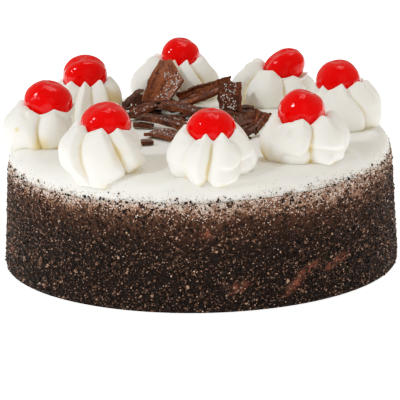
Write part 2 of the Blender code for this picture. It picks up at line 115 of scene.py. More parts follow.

# Each rosette: centre, belly radius, height of its tips and share by which its rim dips between them.
# lean: the side on which the rim is higher, and by what share.
# ridges: groove angle at foot, middle and tip; reach; fullness; place and keenness of the crest between
# this groove and the next; how far the ridge drops to the groove at its left and at its right. What a
# plain ridge leaves out is in PLAIN_RIDGE.
# creases: points the crease runs through; depth; how far it spreads at its left and at its right.
# swells: place, height and spread. Then spots of painted yellow shade: place, strength and spread.
PLAIN_RIDGE = (0.5, 0.62, 0.3, 1.0, 1.0)
ROSETTES = {
    "rosette_1": dict(
        at=(5.0, -67.5), belly=20.2, height=20.0, dip=0.15,
        ridges=(((-104, -100, -98), 1.02, 1.0, 0.55, 0.05, 1.0, 0.55),
            ((-42, -42, -36), 1.01, 0.7, 0.62, 0.55, 0.55, 1.25),
            ((-8, -3, 9), 1.02, 0.8, 0.50, 0.10, 1.1, 0.45), ((48, 46, 36), 1.04, 0.4, 0.50, 0.15, 0.7, 1.0),
            ((92, 94, 94), 0.98), ((137, 135, 133), 0.99), ((180, 178, 176), 1.00), ((222, 220, 218), 0.98)),
        creases=((((10, 0.45), (22, 0.38), (36, 0.36), (52, 0.42), (64, 0.50)), 2.6, 0.5, 2.8),
            (((-84, 0.30), (-62, 0.32), (-42, 0.30), (-26, 0.24)), 1.0, 0.6, 2.4),
            (((-50, 0.24), (-49, 0.02)), 2.0, 1.8, 0.8), (((-17, 1.0), (-20, 0.84)), 1.8, 1.2, 1.2),
            (((36, 0.86), (45, 0.62)), 0.8, 0.4, 1.2), (((24, 0.10), (44, 0.14), (62, 0.22)), 1.2, 0.5, 1.6)),
        swells=((-62, 0.12, 0.8, 4.0), (34, 0.22, 1.4, 3.0), (-20, 0.45, 0.6, 4.5)),
        shade_spots=((-15, 0.02, 1.0, 2.0), (-42, 0.04, 0.9, 1.6), (16, 0.0, 0.9, 2.4), (-80, 0.02, 0.6, 2.0))),
    "rosette_2": dict(
        at=(46.0, -44.5), belly=20.6, height=18.4, dip=0.15,
        ridges=(((-106, -104, -100), 1.00, 0.8, 0.80, 0.20, 1.0, 0.35),
            ((-51, -54, -62), 1.01, 0.7, 0.72, 0.40, 0.35, 1.15),
            ((10, 14, 20), 1.04, 1.0, 0.45, 0.05, 0.9, 0.9), ((76, 78, 76), 1.03, 0.9, 0.45, 0.1, 1.0, 1.0),
            ((120, 122, 124), 0.98), ((164, 166, 168), 1.00), ((210, 212, 214), 0.98)),
        creases=(
            (((-38, 0.16), (-26, 0.30), (-8, 0.26), (8, 0.42), (26, 0.45), (44, 0.40), (66, 0.32)),
             2.2, 0.5, 2.8),
            (((-21, 1.0), (-23, 0.74)), 2.2, 1.4, 1.4), (((4, 0.20), (16, 0.06), (36, 0.04)), 1.4, 0.6, 1.4)),
        swells=((30, 0.20, 1.6, 4.5), (66, 0.12, 1.2, 3.5), (-12, 0.14, 0.8, 4.0), (-34, 0.20, -0.8, 3.5)),
        shade_spots=((-72, 0.14, 1.6, 4.0), (8, 0.03, 0.9, 2.2), (44, 0.03, 0.7, 2.0), (-38, 0.04, 0.6, 2.0))),
    "rosette_3": dict(
        at=(67.0, 9.0), belly=18.0, height=19.4, dip=0.11,
        ridges=(((-78, -84, -92), 0.98, 0.5, 0.60, 0.2, 1.0, 0.6),
            ((-40, -44, -50), 1.05, 0.7, 0.83, 0.45, 0.5, 0.9), ((36, 30, 4), 0.98, 0.7, 0.60, 0.1, 0.9, 0.9),
            ((88, 78, 66), 0.95, 0.5, 0.5, 0.3, 1.0, 1.0), ((128, 120, 110), 0.97), ((168, 160, 150), 1.0),
            ((208, 200, 190), 0.98), ((246, 238, 228), 1.0)),
        creases=((((-22, 0.98), (-26, 0.72)), 0.8, 0.8, 1.2),),
        swells=((-10, 0.30, 0.8, 6.0),),
        shade_spots=((30, 0.0, 0.8, 2.4), (50, 0.0, 0.8, 2.4))),
    "rosette_4": dict(
        at=(35.5, 58.5), belly=19.0, height=15.6, dip=0.11, lean=(-95, 0.14),
        ridges=(((-112, -110, -106), 1.12, 0.7, 0.60, 0.2, 1.0, 0.8),
            ((-66, -60, -50), 1.03, 0.6, 0.62, 0.15, 0.9, 0.9), ((14, 18, 16), 1.0, 0.6, 0.55, 0.2, 1.15, 0.8),
            ((66, 66, 62), 1.02, 0.8, 0.5, 0.2, 0.8, 1.0), ((112, 112, 110), 1.0), ((160, 158, 156), 0.98),
            ((204, 202, 202), 1.0)),
        creases=((((-44, 0.98), (-52, 0.75), (-53, 0.36), (-50, 0.1)), 1.2, 0.5, 1.8),),
        shade_spots=((-40, 0.0, 0.9, 2.6), (-62, 0.02, 0.7, 2.4))),
    "rosette_5": dict(
        at=(-10.0, 70.5), belly=19.6, height=19.2, dip=0.13,
        ridges=(((-112, -108, -104), 1.13, 0.8, 0.55, 0.1, 1.0, 0.7),
            ((-48, -42, -36), 1.0, 0.5, 0.72, 0.4, 0.7, 1.0), ((2, 6, 4), 1.0, 0.6, 0.78, 0.45, 1.0, 1.1),
            ((48, 46, 34), 1.06, 0.7, 0.5, 0.15, 1.0, 1.0), ((92, 94, 96), 1.0), ((134, 136, 138), 0.98),
            ((176, 180, 184), 1.0), ((216, 218, 222), 0.98)),
        swells=((-90, 0.30, 0.8, 6.0),),
        shade_spots=((-60, 0.0, 0.6, 2.5), (60, 0.3, 0.5, 4.0))),
    "rosette_6": dict(
        at=(-52.5, 39.5), belly=17.6, height=18.4, dip=0.13,
        ridges=(((-76, -72, -70), 0.98, 0.6, 0.6, 0.2, 1.0, 0.9),
            ((-26, -18, -12), 1.0, 0.6, 0.45, 0.5, 0.8, 1.0), ((10, 14, 16), 1.0, 0.7, 0.60, 0.3, 1.0, 1.1),
            ((54, 56, 56), 0.97, 0.9, 0.55, 0.1, 1.1, 1.0), ((104, 106, 108), 0.98), ((148, 150, 152), 1.0),
            ((194, 196, 198), 0.98), ((240, 242, 244), 1.0)),
        shade_spots=((62, 0.5, 0.9, 6.0),)),
    "rosette_7": dict(
        at=(-73.2, -8.5), belly=17.2, height=18.2, dip=0.13,
        ridges=(((-116, -112, -108), 1.03, 1.0, 0.58, 0.05, 1.0, 0.9),
            ((8, -1, 7), 0.97, 0.9, 0.50, 0.15, 1.35, 0.9), ((76, 74, 72), 0.94, 0.5, 0.5, 0.3, 0.9, 1.0),
            ((116, 116, 116), 1.0), ((160, 160, 160), 0.98), ((204, 204, 204), 1.0)),
        creases=((((-22, 1.0), (-25, 0.90)), 0.8, 1.4, 1.4),),
        swells=((-48, 0.36, 0.7, 7.0), (-30, 0.0, -5.0, 8.0), (-64, 0.0, -4.5, 7.0)),
        shade_spots=((-33, 0.62, 1.6, 0.9), (6, 0.10, 1.4, 4.5), (40, 0.0, 1.0, 3.0))),
    "rosette_8": dict(
        at=(-43.6, -58.0), belly=20.2, height=20.4, dip=0.10,
        ridges=(((-112, -110, -106), 1.08, 0.8, 0.90, 0.10, 1.0, 0.80),
            ((-14, -32, -40), 1.00, 0.6, 0.74, 0.35, 0.80, 1.25),
            ((46, 30, 18), 1.00, 0.2, 0.30, 0.15, 1.0, 0.9), ((92, 88, 82), 0.94), ((132, 126, 120), 1.0),
            ((174, 170, 164), 0.98), ((216, 210, 206), 1.0)),
        creases=((((48, 0.14), (62, 0.10), (84, 0.10)), 1.8, 0.6, 1.8),
            (((-4, 0.08), (10, 0.03)), 1.6, 0.8, 1.2)),
        swells=((82, 0.24, 1.8, 3.6), (-6, 0.02, 1.0, 3.4), (-22, 0.4, -0.7, 4.0), (-62, 0.0, -8.0, 8.5),
            (-32, 0.0, -2.5, 5.0)),
        shade_spots=((2, 0.03, 1.3, 2.2), (58, 0.14, 1.0, 3.5), (26, 0.55, 0.8, 3.0), (-60, 0.0, 0.7, 2.4))),
}

# Ridges a spatula left on the cream: points in plan, height and spread
SPATULA_MARKS = (
    (((-2, -84), (10, -83), (22, -80), (31, -76), (40, -68)), 0.55, 2.6),
    (((12, -79), (25, -76), (36, -68), (46, -62)), 0.45, 2.0),
    (((-4, -86.5), (14, -85.5), (32, -79)), 0.30, 1.8),
    (((-30, -80), (-18, -82.5), (-4, -81)), 0.35, 2.4), (((52, -66), (60, -60), (68, -48)), 0.35, 2.0),
    (((63, -36), (69, -42), (71, -49)), 0.5, 2.2), (((-70, -48), (-64, -58), (-56, -66)), 0.3, 2.5),
    (((-79, 12), (-74, 27), (-65, 42)), 0.5, 2.6), (((-20, -46), (-6, -42), (6, -40)), 0.3, 2.0),
    (((70, 40), (60, 56), (46, 68)), 0.5, 2.4), (((12, 82), (-6, 84), (-26, 79)), 0.45, 2.0),
)
STEEP_SIDE = 0.4  # spread at a mark's right, as a share of the spread at its left
EDGE_SCRAPE = 0.25  # how far the cream's rounded edge is scraped in
EDGE_SHARE = 0.6  # how much of that and of the swells shows on the edge

# Cherries: half axes, tilt about Y as their solids have them, and a cleft as (angle, depth, width)
CHERRIES = {
    "cherry_1": ((11.3, 11.0, 10.7), 0, (160, 0.03, 0.3)),
    "cherry_2": ((10.7, 10.6, 10.8), 14, (200, 0.03, 0.3)),
    "cherry_3": ((10.4, 10.2, 10.2), -6, (100, 0.03, 0.3)),
    "cherry_4": ((10.6, 8.9, 8.3), -34, (95, 0.10, 0.22)),
    "cherry_5": ((9.4, 9.2, 9.4), 10, (140, 0.03, 0.3)),
    "cherry_6": ((10.7, 10.2, 9.8), -8, (92, 0.10, 0.25)),
    "cherry_7": ((11.4, 10.8, 10.6), 12, (150, 0.04, 0.3)),
    "cherry_8": ((11.4, 10.8, 10.4), -12, (100, 0.06, 0.3)),
}
CLEFT_LEAN = 0.35  # how far the cleft's side leans up
CLEFT_BAND = (-0.3, 0.9)  # heights on a ball of radius 1 where the cleft starts and is deepest
DIMPLE_DEPTH = 1.2
DIMPLE_WIDTH = 0.25  # as a share of the cherry's radius

# A chocolate shard is a curled sheet: its length and thickness; how far it reaches to the left and to the
# right of its middle line at its start, middle and end; curl across it in degrees; bow along it; its place
# on the cream; its turns in degrees; and its height above the cream.
Shard = namedtuple("Shard", "size left right curl bow at turn lift", defaults=(0.3,))
SHARDS = {
    "chocolate_sail": Shard((25.5, 1.3), (9, 7, 2.6), (2, 11, 3.4), 70, 1.2, (-17.0, 50.3), (4, -47, 80)),
    "chocolate_plank": Shard((27, 1.6), (4, 4, 3), (4, 4, 3), 90, 0.8, (3.0, 43.6), (66, -21, -6)),
    "chocolate_square": Shard((15, 1.4), (5.5, 7, 5), (4, 4.5, 5.5), 24, 0.6, (15.3, 35.0), (4, -54, 96)),
    "chocolate_flake_1": Shard((8, 1.2), (2, 3, 2), (2, 2, 2), 40, 0.3, (21.5, 39.0), (0, 0, 4)),
    "chocolate_rod": Shard((11, 1.4), (2.5, 2.5, 2), (2.5, 2.5, 2), 80, 0.4, (25.0, 22.5), (10, 0, 12)),
    "chocolate_curl": Shard((11, 1.4), (2, 3, 4), (2, 4, 6.5), 100, 0.8, (26.3, -7.5), (20, -50, 50)),
    "chocolate_flake_2": Shard((12, 1.2), (1, 3, 2), (2, 3, 2), 30, 0.6, (19.0, 5.5), (24, -8, 24)),
    "chocolate_stick_1": Shard((20, 2.0), (3, 4, 3), (3, 3, 3), 60, 0.8, (-8.6, 30.8), (14, 10, -18)),
    "chocolate_chip_1": Shard((13, 1.4), (4, 5, 2), (3, 4, 3), 90, 0.8, (-25.5, 33.0), (20, -14, 30)),
    "chocolate_stick_2": Shard((25, 2.2), (2.5, 3, 3), (2.5, 3, 3), 50, 0.8, (-16.0, 9.2), (6, 6, -32)),
    "chocolate_stick_3": Shard((15, 1.8), (2, 2, 1.5), (2, 2, 1.5), 50, 0.4, (-28.5, 12.0), (0, 0, -12)),
    "chocolate_stick_4": Shard((12, 1.4), (1.5, 1.5, 1), (1.5, 1.5, 1), 40, 0.4, (-37.0, 55.0), (0, 0, -38)),
    "chocolate_chip_2": Shard((15, 1.6), (3, 6, 4), (4, 4, 4), 36, 0.6, (-17.0, -8.0), (0, 0, -38)),
    "chocolate_chip_3": Shard((6.5, 1.5), (2, 2.5, 1.5), (2, 2.5, 1.5), 20, 0.2, (-24.2, -18.5), (0, 0, -4)),
}
SMOOTH_SHARDS = ("sail", "square", "chip_2", "chip_3")
SMOOTH_RELIEF = 0.35  # relief of a smooth shard, as a share of the others'
LIGHT_SHARDS = {"scraped_chocolate_sail": 0.34, "scraped_chocolate_plank": 0.15,
                "scraped_chocolate_chip_2": 0.1, "flake": -0.12}
DRAG_DEPTH = 0.20  # depth of the drag lines
EDGE_BAND = 0.8  # how far in from its edge a shard is broken
SHARP_EDGE = radians(38)

# Smaller flakes: x, y, length, width, turns and curl, then thickness and height above the cream, which
# are left out where they are as usual
USUAL_FLAKE = (1.0, 0.4)
FLAKES = (
    (-31, 53, 14, 4.5, (10, -26, 48), 60, 0.9, 0.4), (-26, 46, 11, 8, (30, -20, 22), 80),
    (-21, 43, 12, 8, (-24, -12, -18), 90), (-24, 38, 13, 4.5, (14, 0, -12), 60),
    (-30, 41, 10, 3.5, (0, 10, 30), 50, 0.9, 0.4), (-27, 32, 14, 2.6, (0, 0, -8), 50, 1.1, 0.4),
    (-31, 27, 12, 2.2, (0, 0, 6), 50, 1.1, 0.4), (-26, 23.5, 13, 2.4, (0, 4, -14), 50, 1.2, 0.4),
    (-33, 19, 9, 2.0, (0, 0, -4), 40, 1.1, 0.4), (-36, 34, 11, 2.4, (0, 6, 20), 40),
    (-14, 46, 13, 6, (20, 8, -10), 70, 1.0, 0.8), (-6, 41, 14, 4.5, (-14, 6, -16), 60),
    (-2, 35, 13, 4.5, (10, -6, 8), 60), (-9, 37, 11, 6, (30, 0, 20), 80, 1.0, 1.2),
    (-17, 37, 10, 6, (-20, 10, -30), 80, 1.0, 1.2), (-12, 26, 12, 2.8, (0, 0, -20), 40, 1.1, 0.4),
    (-3, 26, 11, 3.4, (0, 5, 12), 50), (6, 32, 13, 4.0, (8, 0, -24), 60), (8, 24, 12, 3.0, (0, 4, 16), 50),
    (20, 31, 13, 4.5, (10, 0, 10), 60), (14, 27, 11, 4.0, (0, 8, -12), 60), (18, 19, 11, 2.8, (14, 0, 35), 50),
    (22, 13, 12, 3.2, (-10, 0, -30), 50), (18, 10, 9, 2.6, (0, 0, 50), 50), (24, 4, 9, 3.0, (0, 10, -50), 60),
    (21, -3, 9, 3.0, (18, 0, 10), 60), (28, 9, 10, 3.0, (0, -8, 20), 50), (10, 17, 10, 2.4, (0, 0, -40), 40),
    (-19, 55, 12, 5, (16, 8, 10), 70), (-7, 20, 9, 2.2, (0, 0, 26), 40), (23, -11, 9, 4.5, (24, -26, 38), 60),
    (20, -15, 7, 2.4, (0, 0, 12), 50),
)
FLAKE_THINNING = 0.75
FLAKE_LEFT = (0.35, 0.5, 0.3)  # a flake's reach to the left and right, as shares of its width
FLAKE_RIGHT = (0.4, 0.5, 0.35)
FLAKE_BOW = 0.04  # as a share of its length

# Wet faces: how many beads, and where, as shares along and across the shard
BEADS = {
    "chocolate_sail": (120, (0.05, 0.72), (0.45, 0.97)),
    "chocolate_square": (80, (0.08, 0.95), (0.05, 0.75)),
    "chocolate_chip_2": (26, (0.05, 0.95), (0.05, 0.95)),
    "chocolate_stick_2": (18, (0.05, 0.95), (0.1, 0.9)),
    "chocolate_stick_1": (14, (0.05, 0.95), (0.1, 0.9)),
    "chocolate_chip_1": (16, (0.05, 0.95), (0.1, 0.9)),
}
WET_SIDE = np.array((-0.2, -0.9, 0.4))  # the side of a shard on which its beads sit
BEAD_SIZES = (0.45, 1.3)  # smallest and largest, as shares of the usual size

# Crumbs: how many, size from and to, how proud they sit, seed, and whether they have more facets
CRUMBS = {
    "crumbs_coarse": dict(count=7000, size=(0.85, 1.7), sit=0.12, seed=11, coarse=True),
    "crumbs_medium": dict(count=9400, size=(0.65, 1.1), sit=0.16, seed=12, coarse=True),
    "crumbs_small": dict(count=24000, size=(0.50, 0.85), sit=0.20, seed=16, coarse=False),
    "crumbs_fine": dict(count=24000, size=(0.35, 0.62), sit=0.20, seed=13, coarse=False),
    "crumbs_pale": dict(count=20000, size=(0.40, 0.90), sit=0.22, seed=14, coarse=False),
    "crumbs_loose": dict(count=3200, size=(0.16, 0.52), sit=0.20, seed=15, coarse=False),
}
CRUMB_TRIES = 6  # places tried for each crumb
LOOSE_BAND = (-18.0, 4.0)  # depths below the crumb line at which loose crumbs lie
COAT_BAND = (-4.0, CRUMB_LINE + 2)  # and all others
CRUMB_FLOOR = 0.35  # lowest height of a crumb's middle
COAT_FADE = 1.3  # how soon the coat thins out above the crumb line
TOP_COVER = 0.72  # cover at the crumb line
FULL_COVER_AT = 9  # depth at which the cover is full
BARE_LOSS = 0.55  # share of crumbs missing in a thin place
LOOSE_MIDDLE, LOOSE_FADE, LOOSE_STRAYS = -1.5, 1.8, 0.005
PALE_START, PALE_FADE, PALE_STRAYS = 0.5, 2.6, 0.07
SMALL_BIAS = 1.8  # above 1, small crumbs outnumber large ones
HEAPING = 0.45  # height of the heaps that crumbs lie in
CRUMB_SQUASH = (0.72, 1.2)  # how a crumb's axes vary
CRUMB_JITTER = (0.62, 1.28)  # and its corners
OCTAHEDRON = (
    np.array([(1, 0, 0), (0, 1, 0), (-1, 0, 0), (0, -1, 0), (0, 0, 1), (0, 0, -1)], float),
    np.array([(0, 1, 4), (1, 2, 4), (2, 3, 4), (3, 0, 4), (1, 0, 5), (2, 1, 5), (3, 2, 5), (0, 3, 5)]))
# Places where the stained cream reaches lower: angle from the front, half width in degrees, and how far
STAIN_DRIFTS = ((44, 30, 4.5), (-2, 13, 3.0), (-125, 28, 4.0), (150, 26, 5.0))
STAIN_START = 8  # depth at which they reach their full strength
# Thin places in the crumb coat: angle from the front, height, half widths in mm and slope
PATCHES = (
    (28.0, 10.5, 6.0, 3.6, 0.75), (33.0, 16.2, 5.0, 3.0, 0.5), (42.5, 16.0, 9.0, 2.4, 0.30),
    (10.0, 10.8, 5.5, 2.3, 0.35), (2.0, 36.0, 3.4, 2.6, 0.0), (-160.0, 14.0, 9.0, 3.5, 0.4),
    (118.0, 20.0, 8.0, 3.0, -0.3), (-75.0, 12.0, 6.0, 2.6, 0.3),
)
PATCH_EDGE = (0.3, 1.35)  # where a thin place starts to close and is closed, in half widths
PATCH_FILL = 0.75  # how bare it is on average

# Studio: colours of the lights, where they aim, and the tone curve from scene light to screen
COOL, NEUTRAL = (0.92, 0.97, 1.0), (1.0, 1.0, 1.0)
LIGHT_AIM = Vector((0, 0, 0.05))
SKY_COLOUR = (1, 0.87, 0.74, 1)
TONE_CURVE = ((0.42, 0.47), (0.75, 0.69), (1.1, 0.865))
TONE_WHITE = (1.45, 1.0)
TONE_END = 2.0


# ---------------- small tools


def hex_colour(text):
    """An sRGB hex colour as linear red, green and blue."""
    values = [int(text[i:i + 2], 16) / 255 for i in (1, 3, 5)]
    return tuple(v / 12.92 if v <= 0.04045 else ((v + 0.055) / 1.055) ** 2.4 for v in values)


def select_only(*pieces):
    """Leave edit mode and select these pieces alone, with the first one active."""
    if bpy.context.object and bpy.context.object.mode != "OBJECT":
        bpy.ops.object.mode_set(mode="OBJECT")
    bpy.ops.object.select_all(action="DESELECT")
    for piece in pieces:
        piece.select_set(True)
    if pieces:
        bpy.context.view_layer.objects.active = pieces[0]


def points_of(piece):
    """A mesh's points as rows of x, y and z in millimetres."""
    flat = np.empty(len(piece.data.vertices) * 3)
    piece.data.vertices.foreach_get("co", flat)
    return flat.reshape(-1, 3) / MM


def put_points(piece, points):
    piece.data.vertices.foreach_set("co", (points * MM).ravel())
    piece.data.update()


def paint_points(piece, key, values):
    """Store a number at each point of a mesh, for its material to read."""
    layer = piece.data.attributes.new(key, "FLOAT", "POINT")
    layer.data.foreach_set("value", values.astype(np.float32))


def new_grid(name, columns, rows):
    """A flat square grid, and each point's place on it as shares along x and y."""
    select_only()
    bpy.ops.mesh.primitive_grid_add(x_subdivisions=columns, y_subdivisions=rows, size=1)
    piece = bpy.context.object
    piece.name = name
    flat = points_of(piece) * MM + 0.5
    return piece, flat[:, 0], flat[:, 1]


def sew(piece, reach=0.001):
    """Merge points that lie together and turn all faces outwards."""
    bpy.context.view_layer.objects.active = piece
    bpy.ops.object.mode_set(mode="EDIT")
    bpy.ops.mesh.select_all(action="SELECT")
    bpy.ops.mesh.remove_doubles(threshold=reach * MM)
    bpy.ops.mesh.normals_make_consistent(inside=False)
    bpy.ops.object.mode_set(mode="OBJECT")


def wrap_grid(name, surface, paint):
    """A flat grid rolled into a closed piece: surface holds rows of points that each go once round."""
    rows, columns = surface.shape[:2]
    piece, along, up = new_grid(name, columns, rows - 1)
    column = np.rint(along * columns).astype(int) % columns
    row = np.rint(up * (rows - 1)).astype(int)
    put_points(piece, surface[row, column])
    for key, values in paint.items():
        paint_points(piece, key, values[row, column])
    sew(piece)
    return piece


def finish_piece(piece, material, replaces=(), flat=False, sharp=None):
    """Give a piece its finish, put it on the cake's body and hide the solids it replaces."""
    piece.data.name = piece.name
    piece.data.materials.clear()
    piece.data.materials.append(material)
    select_only(piece)
    if flat:
        bpy.ops.object.shade_flat()
    elif sharp:
        bpy.ops.object.shade_smooth_by_angle(angle=sharp)
    else:
        bpy.ops.object.shade_smooth()
    if replaces:
        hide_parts(*replaces)
    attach(piece, BODY)
    piece.select_set(False)


def ball_shape(subdivisions):
    """Points and faces of a ball 1 mm in radius."""
    select_only()
    bpy.ops.mesh.primitive_ico_sphere_add(subdivisions=subdivisions, radius=MM)
    ball = bpy.context.object
    points = points_of(ball)
    faces = np.array([tuple(face.vertices) for face in ball.data.polygons])
    bpy.data.objects.remove(ball, do_unlink=True)
    return points, faces


def joined_mesh(name, copies, faces):
    """One mesh object from many copies of a small shape, each given by its points in millimetres."""
    count, size = copies.shape[:2]
    faces = (faces[None] + size * np.arange(count)[:, None, None]).reshape(-1, faces.shape[1])
    mesh = bpy.data.meshes.new(name)
    mesh.from_pydata((copies.reshape(-1, 3) * MM).tolist(), [], faces.tolist())
    piece = bpy.data.objects.new(name, mesh)
    bpy.context.scene.collection.objects.link(piece)
    return piece


def uneven(points, layers, seed=0):
    """The sum of some layers of smooth noise at each point, in the shape of the points' array."""
    flat = points.reshape(-1, 3)
    total = np.zeros(len(flat))
    for height, size, layer_seed, *stretch in layers:
        shift = Vector([step * (seed + layer_seed) for step in NOISE_STEP])
        spots = flat * stretch[0] if stretch else flat
        total += height * np.array([noise.noise(Vector(spot) / size + shift) for spot in spots])
    return total.reshape(points.shape[:-1])


def smooth_step(value, low, high):
    share = np.clip((value - low) / (high - low), 0, 1)
    return share * share * (3 - 2 * share)


def blur(values, passes):
    """Blur rows of values that go once round, keeping their first and last rows."""
    for _ in range(passes):
        values = (np.roll(values, 1, 1) + 2 * values + np.roll(values, -1, 1)) / 4
        inner = (values[:-2] + 2 * values[1:-1] + values[2:]) / 4
        values = np.concatenate([values[:1], inner, values[-1:]])
    return values


def ring(radius, plan, z, middle=(0, 0)):
    """Points from a distance and direction in plan from a middle, and a height."""
    x, y = middle[0] + radius * np.cos(plan), middle[1] + radius * np.sin(plan)
    return np.stack(np.broadcast_arrays(x, y, z), -1)


def degrees_off(angle, middle):
    """Angles from a middle one, between -180 and 180."""
    return (angle - middle + 180) % 360 - 180


def follow_line(spots, line, profile):
    """Follow a line of points in plan: each spot gets what profile makes of its distance from the line,
    whether it lies at the line's left, and the share of the line that is walked there."""
    line = np.array(line, float)
    runs = np.linalg.norm(np.diff(line, axis=0), axis=1)
    nearest = np.full(spots.shape[:2], np.inf)
    value = np.zeros_like(nearest)
    done = 0.0
    for start, end, run in zip(line, line[1:], runs):
        step = end - start
        along = np.clip(((spots - start) @ step) / run ** 2, 0, 1)
        gap = spots - start - along[..., None] * step
        away = np.linalg.norm(gap, axis=-1)
        left = step[0] * gap[..., 1] - step[1] * gap[..., 0] > 0
        value = np.where(away < nearest, profile(away, left, (done + along * run) / runs.sum()), value)
        nearest = np.minimum(away, nearest)
        done += run
    return value


# ---------------- materials


def add_node(tree, kind, settings=None, inputs=None):
    """Add a node, set its settings, and set or link its inputs by name or number."""
    made = tree.nodes.new(kind)
    for key, value in (settings or {}).items():
        setattr(made, key, value)
    for key, value in (inputs or {}).items():
        if isinstance(value, bpy.types.NodeSocket):
            tree.links.new(value, made.inputs[key])
        else:
            made.inputs[key].default_value = value
    return made


def new_material(name, values):
    """A material with values on its shader's own sockets."""
    material = bpy.data.materials.new(name)
    material.use_nodes = True
    shader = material.node_tree.nodes["Principled BSDF"]
    for key, value in values.items():
        shader.inputs[key].default_value = value
    return material, material.node_tree, shader


def read_paint(tree, key):
    return add_node(tree, "ShaderNodeAttribute", {"attribute_name": key}).outputs["Fac"]


def read_place(tree):
    return add_node(tree, "ShaderNodeTexCoord").outputs["Object"]


def add_noise(tree, place, size, detail, roughness=0.5):
    """Noise with swells of a size in mm."""
    return add_node(tree, "ShaderNodeTexNoise", None, {
        "Vector": place, "Scale": 1 / (size * MM), "Detail": detail, "Roughness": roughness}).outputs["Fac"]


def add_math(tree, operation, *values, clamp=False):
    settings = {"operation": operation, "use_clamp": clamp}
    return add_node(tree, "ShaderNodeMath", settings, dict(enumerate(values))).outputs[0]


def add_mix(tree, share, first, second):
    return add_node(tree, "ShaderNodeMix", {"data_type": "RGBA"}, {
        "Factor": share, "A": first, "B": second}).outputs["Result"]


def add_ramp(tree, share, stops):
    """Colours from a share, by stops of (place, sRGB hex colour)."""
    ramp = add_node(tree, "ShaderNodeValToRGB", None, {"Fac": share})
    elements = ramp.color_ramp.elements
    while len(elements) > 1:
        elements.remove(elements[0])
    elements[0].position = stops[0][0]
    elements[0].color = (*hex_colour(stops[0][1]), 1)
    for place, colour in stops[1:]:
        elements.new(place).color = (*hex_colour(colour), 1)
    return ramp.outputs["Color"]


def add_bump(tree, shader, strength, distance, height, invert=False):
    """Relief in the shader's normal, at most distance mm deep."""
    bump = add_node(tree, "ShaderNodeBump", {"invert": invert}, {
        "Strength": strength, "Distance": distance * MM, "Height": height})
    tree.links.new(bump.outputs["Normal"], shader.inputs["Normal"])


def whipped_cream_material(looks):
    """Whipped dairy cream: soft and bright, lit from within, with a painted yellow shade where it lies in
    creases.
    """
    material, tree, shader = new_material("whipped_cream", {
        "Roughness": 0.48, "IOR": 1.45, "Specular IOR Level": 0.30, "Subsurface Weight": 0.40,
        "Subsurface Radius": (1.0, 0.85, 0.60), "Subsurface Scale": 2.5 * MM})
    place = read_place(tree)
    # Painted shade: the crease paint mixes the cream towards a yellower, darker colour.
    amount = add_math(tree, "MULTIPLY", read_paint(tree, "crease"), add_noise(tree, place, 9, 2.0))
    strong = add_math(tree, "MULTIPLY", amount, 2.1, clamp=True)
    colour = add_mix(tree, strong, (*looks.cream_colour, 1), (*looks.crease_shade_colour, 1))
    tree.links.new(colour, shader.inputs["Base Color"])
    add_bump(tree, shader, 0.25, 0.12, add_noise(tree, place, 1.6, 3.0))
    return material


def cherry_material(looks):
    """Cocktail cherry in clear red glaze: saturated, lit from within, with sharp small highlights."""
    material, tree, shader = new_material("glazed_cherry", {
        "Base Color": (*looks.cherry_colour, 1), "Roughness": 0.05, "IOR": 1.36, "Specular IOR Level": 0.8,
        "Specular Tint": (1.0, 0.22, 0.22, 1), "Subsurface Weight": 0.7,
        "Subsurface Radius": (1.0, 0.10, 0.08), "Subsurface Scale": 4 * MM})
    drawn = add_node(tree, "ShaderNodeMapping", None, {"Vector": read_place(tree), "Scale": (1.0, 1.0, 0.4)})
    add_bump(tree, shader, 0.7, 0.4, add_noise(tree, drawn.outputs["Vector"], 2.0, 1.5))
    return material


def chocolate_material():
    """Dark chocolate scraped with a knife: waxy, with fine drag lines along each shard."""
    material, tree, shader = new_material("scraped_dark_chocolate", {
        "Roughness": 0.30, "IOR": 1.47, "Specular IOR Level": 0.30, "Specular Tint": (1.0, 0.78, 0.66, 1)})
    fleck = add_noise(tree, read_place(tree), 1.1, 4.0, 0.65)
    shade = add_math(tree, "MULTIPLY_ADD", read_paint(tree, "drag"), 0.5, fleck)
    colour = add_ramp(tree, shade, ((0.35, "#080200"), (0.60, "#280D04"), (0.80, "#4E210D"), (1.0, "#82482A")))
    tree.links.new(colour, shader.inputs["Base Color"])
    add_bump(tree, shader, 0.8, 0.25, shade)
    return material


def crumb_coat_material():
    """Cake side under the loose crumbs: cream stained by cocoa near the top, damp dark crumb below, with
    painted shade in the low gaps between its grains.
    """
    material, tree, shader = new_material("stained_cream_and_crumb", {
        "Roughness": 0.8, "Specular IOR Level": 0.08})
    place = read_place(tree)
    shifted = add_math(tree, "MULTIPLY_ADD", add_noise(tree, place, 7, 3.0), 12.0, read_paint(tree, "depth"))
    share = add_node(tree, "ShaderNodeMapRange", None, {
        "Value": shifted, "From Min": 2.0, "From Max": 38.0}).outputs[0]
    base = add_ramp(tree, share, (
        (0.0, "#F0EADD"), (0.10, "#E6D3C4"), (0.15, "#AA826B"), (0.21, "#6C4A38"),
        (0.32, "#452A1D"), (0.60, "#1E120C"), (0.85, "#120A06")))
    bare = add_mix(tree, read_paint(tree, "thin"), base, (*hex_colour("#7A4433"), 1))
    # Painted shade: the low gaps between the grains are darkened towards dark crumb.
    grain = add_node(tree, "ShaderNodeTexVoronoi", None, {
        "Vector": place, "Scale": 1 / (0.9 * MM)}).outputs["Distance"]
    dark = add_node(tree, "ShaderNodeMapRange", None, {
        "Value": grain, "From Min": 0.30, "From Max": 0.75, "To Min": 0.0, "To Max": 0.6}).outputs[0]
    colour = add_mix(tree, dark, bare, (*hex_colour("#1A120E"), 1))
    tree.links.new(colour, shader.inputs["Base Color"])
    add_bump(tree, shader, 1.0, 0.4, grain, invert=True)
    return material


def crumb_material(name, stops, roughness, gloss):
    """Dark chocolate cake crumbs: matt with damp facets, each crumb with a tone of its own."""
    material, tree, shader = new_material(name, {"Roughness": roughness, "Specular IOR Level": gloss})
    tree.links.new(add_ramp(tree, read_paint(tree, "tone"), stops), shader.inputs["Base Color"])
    return material


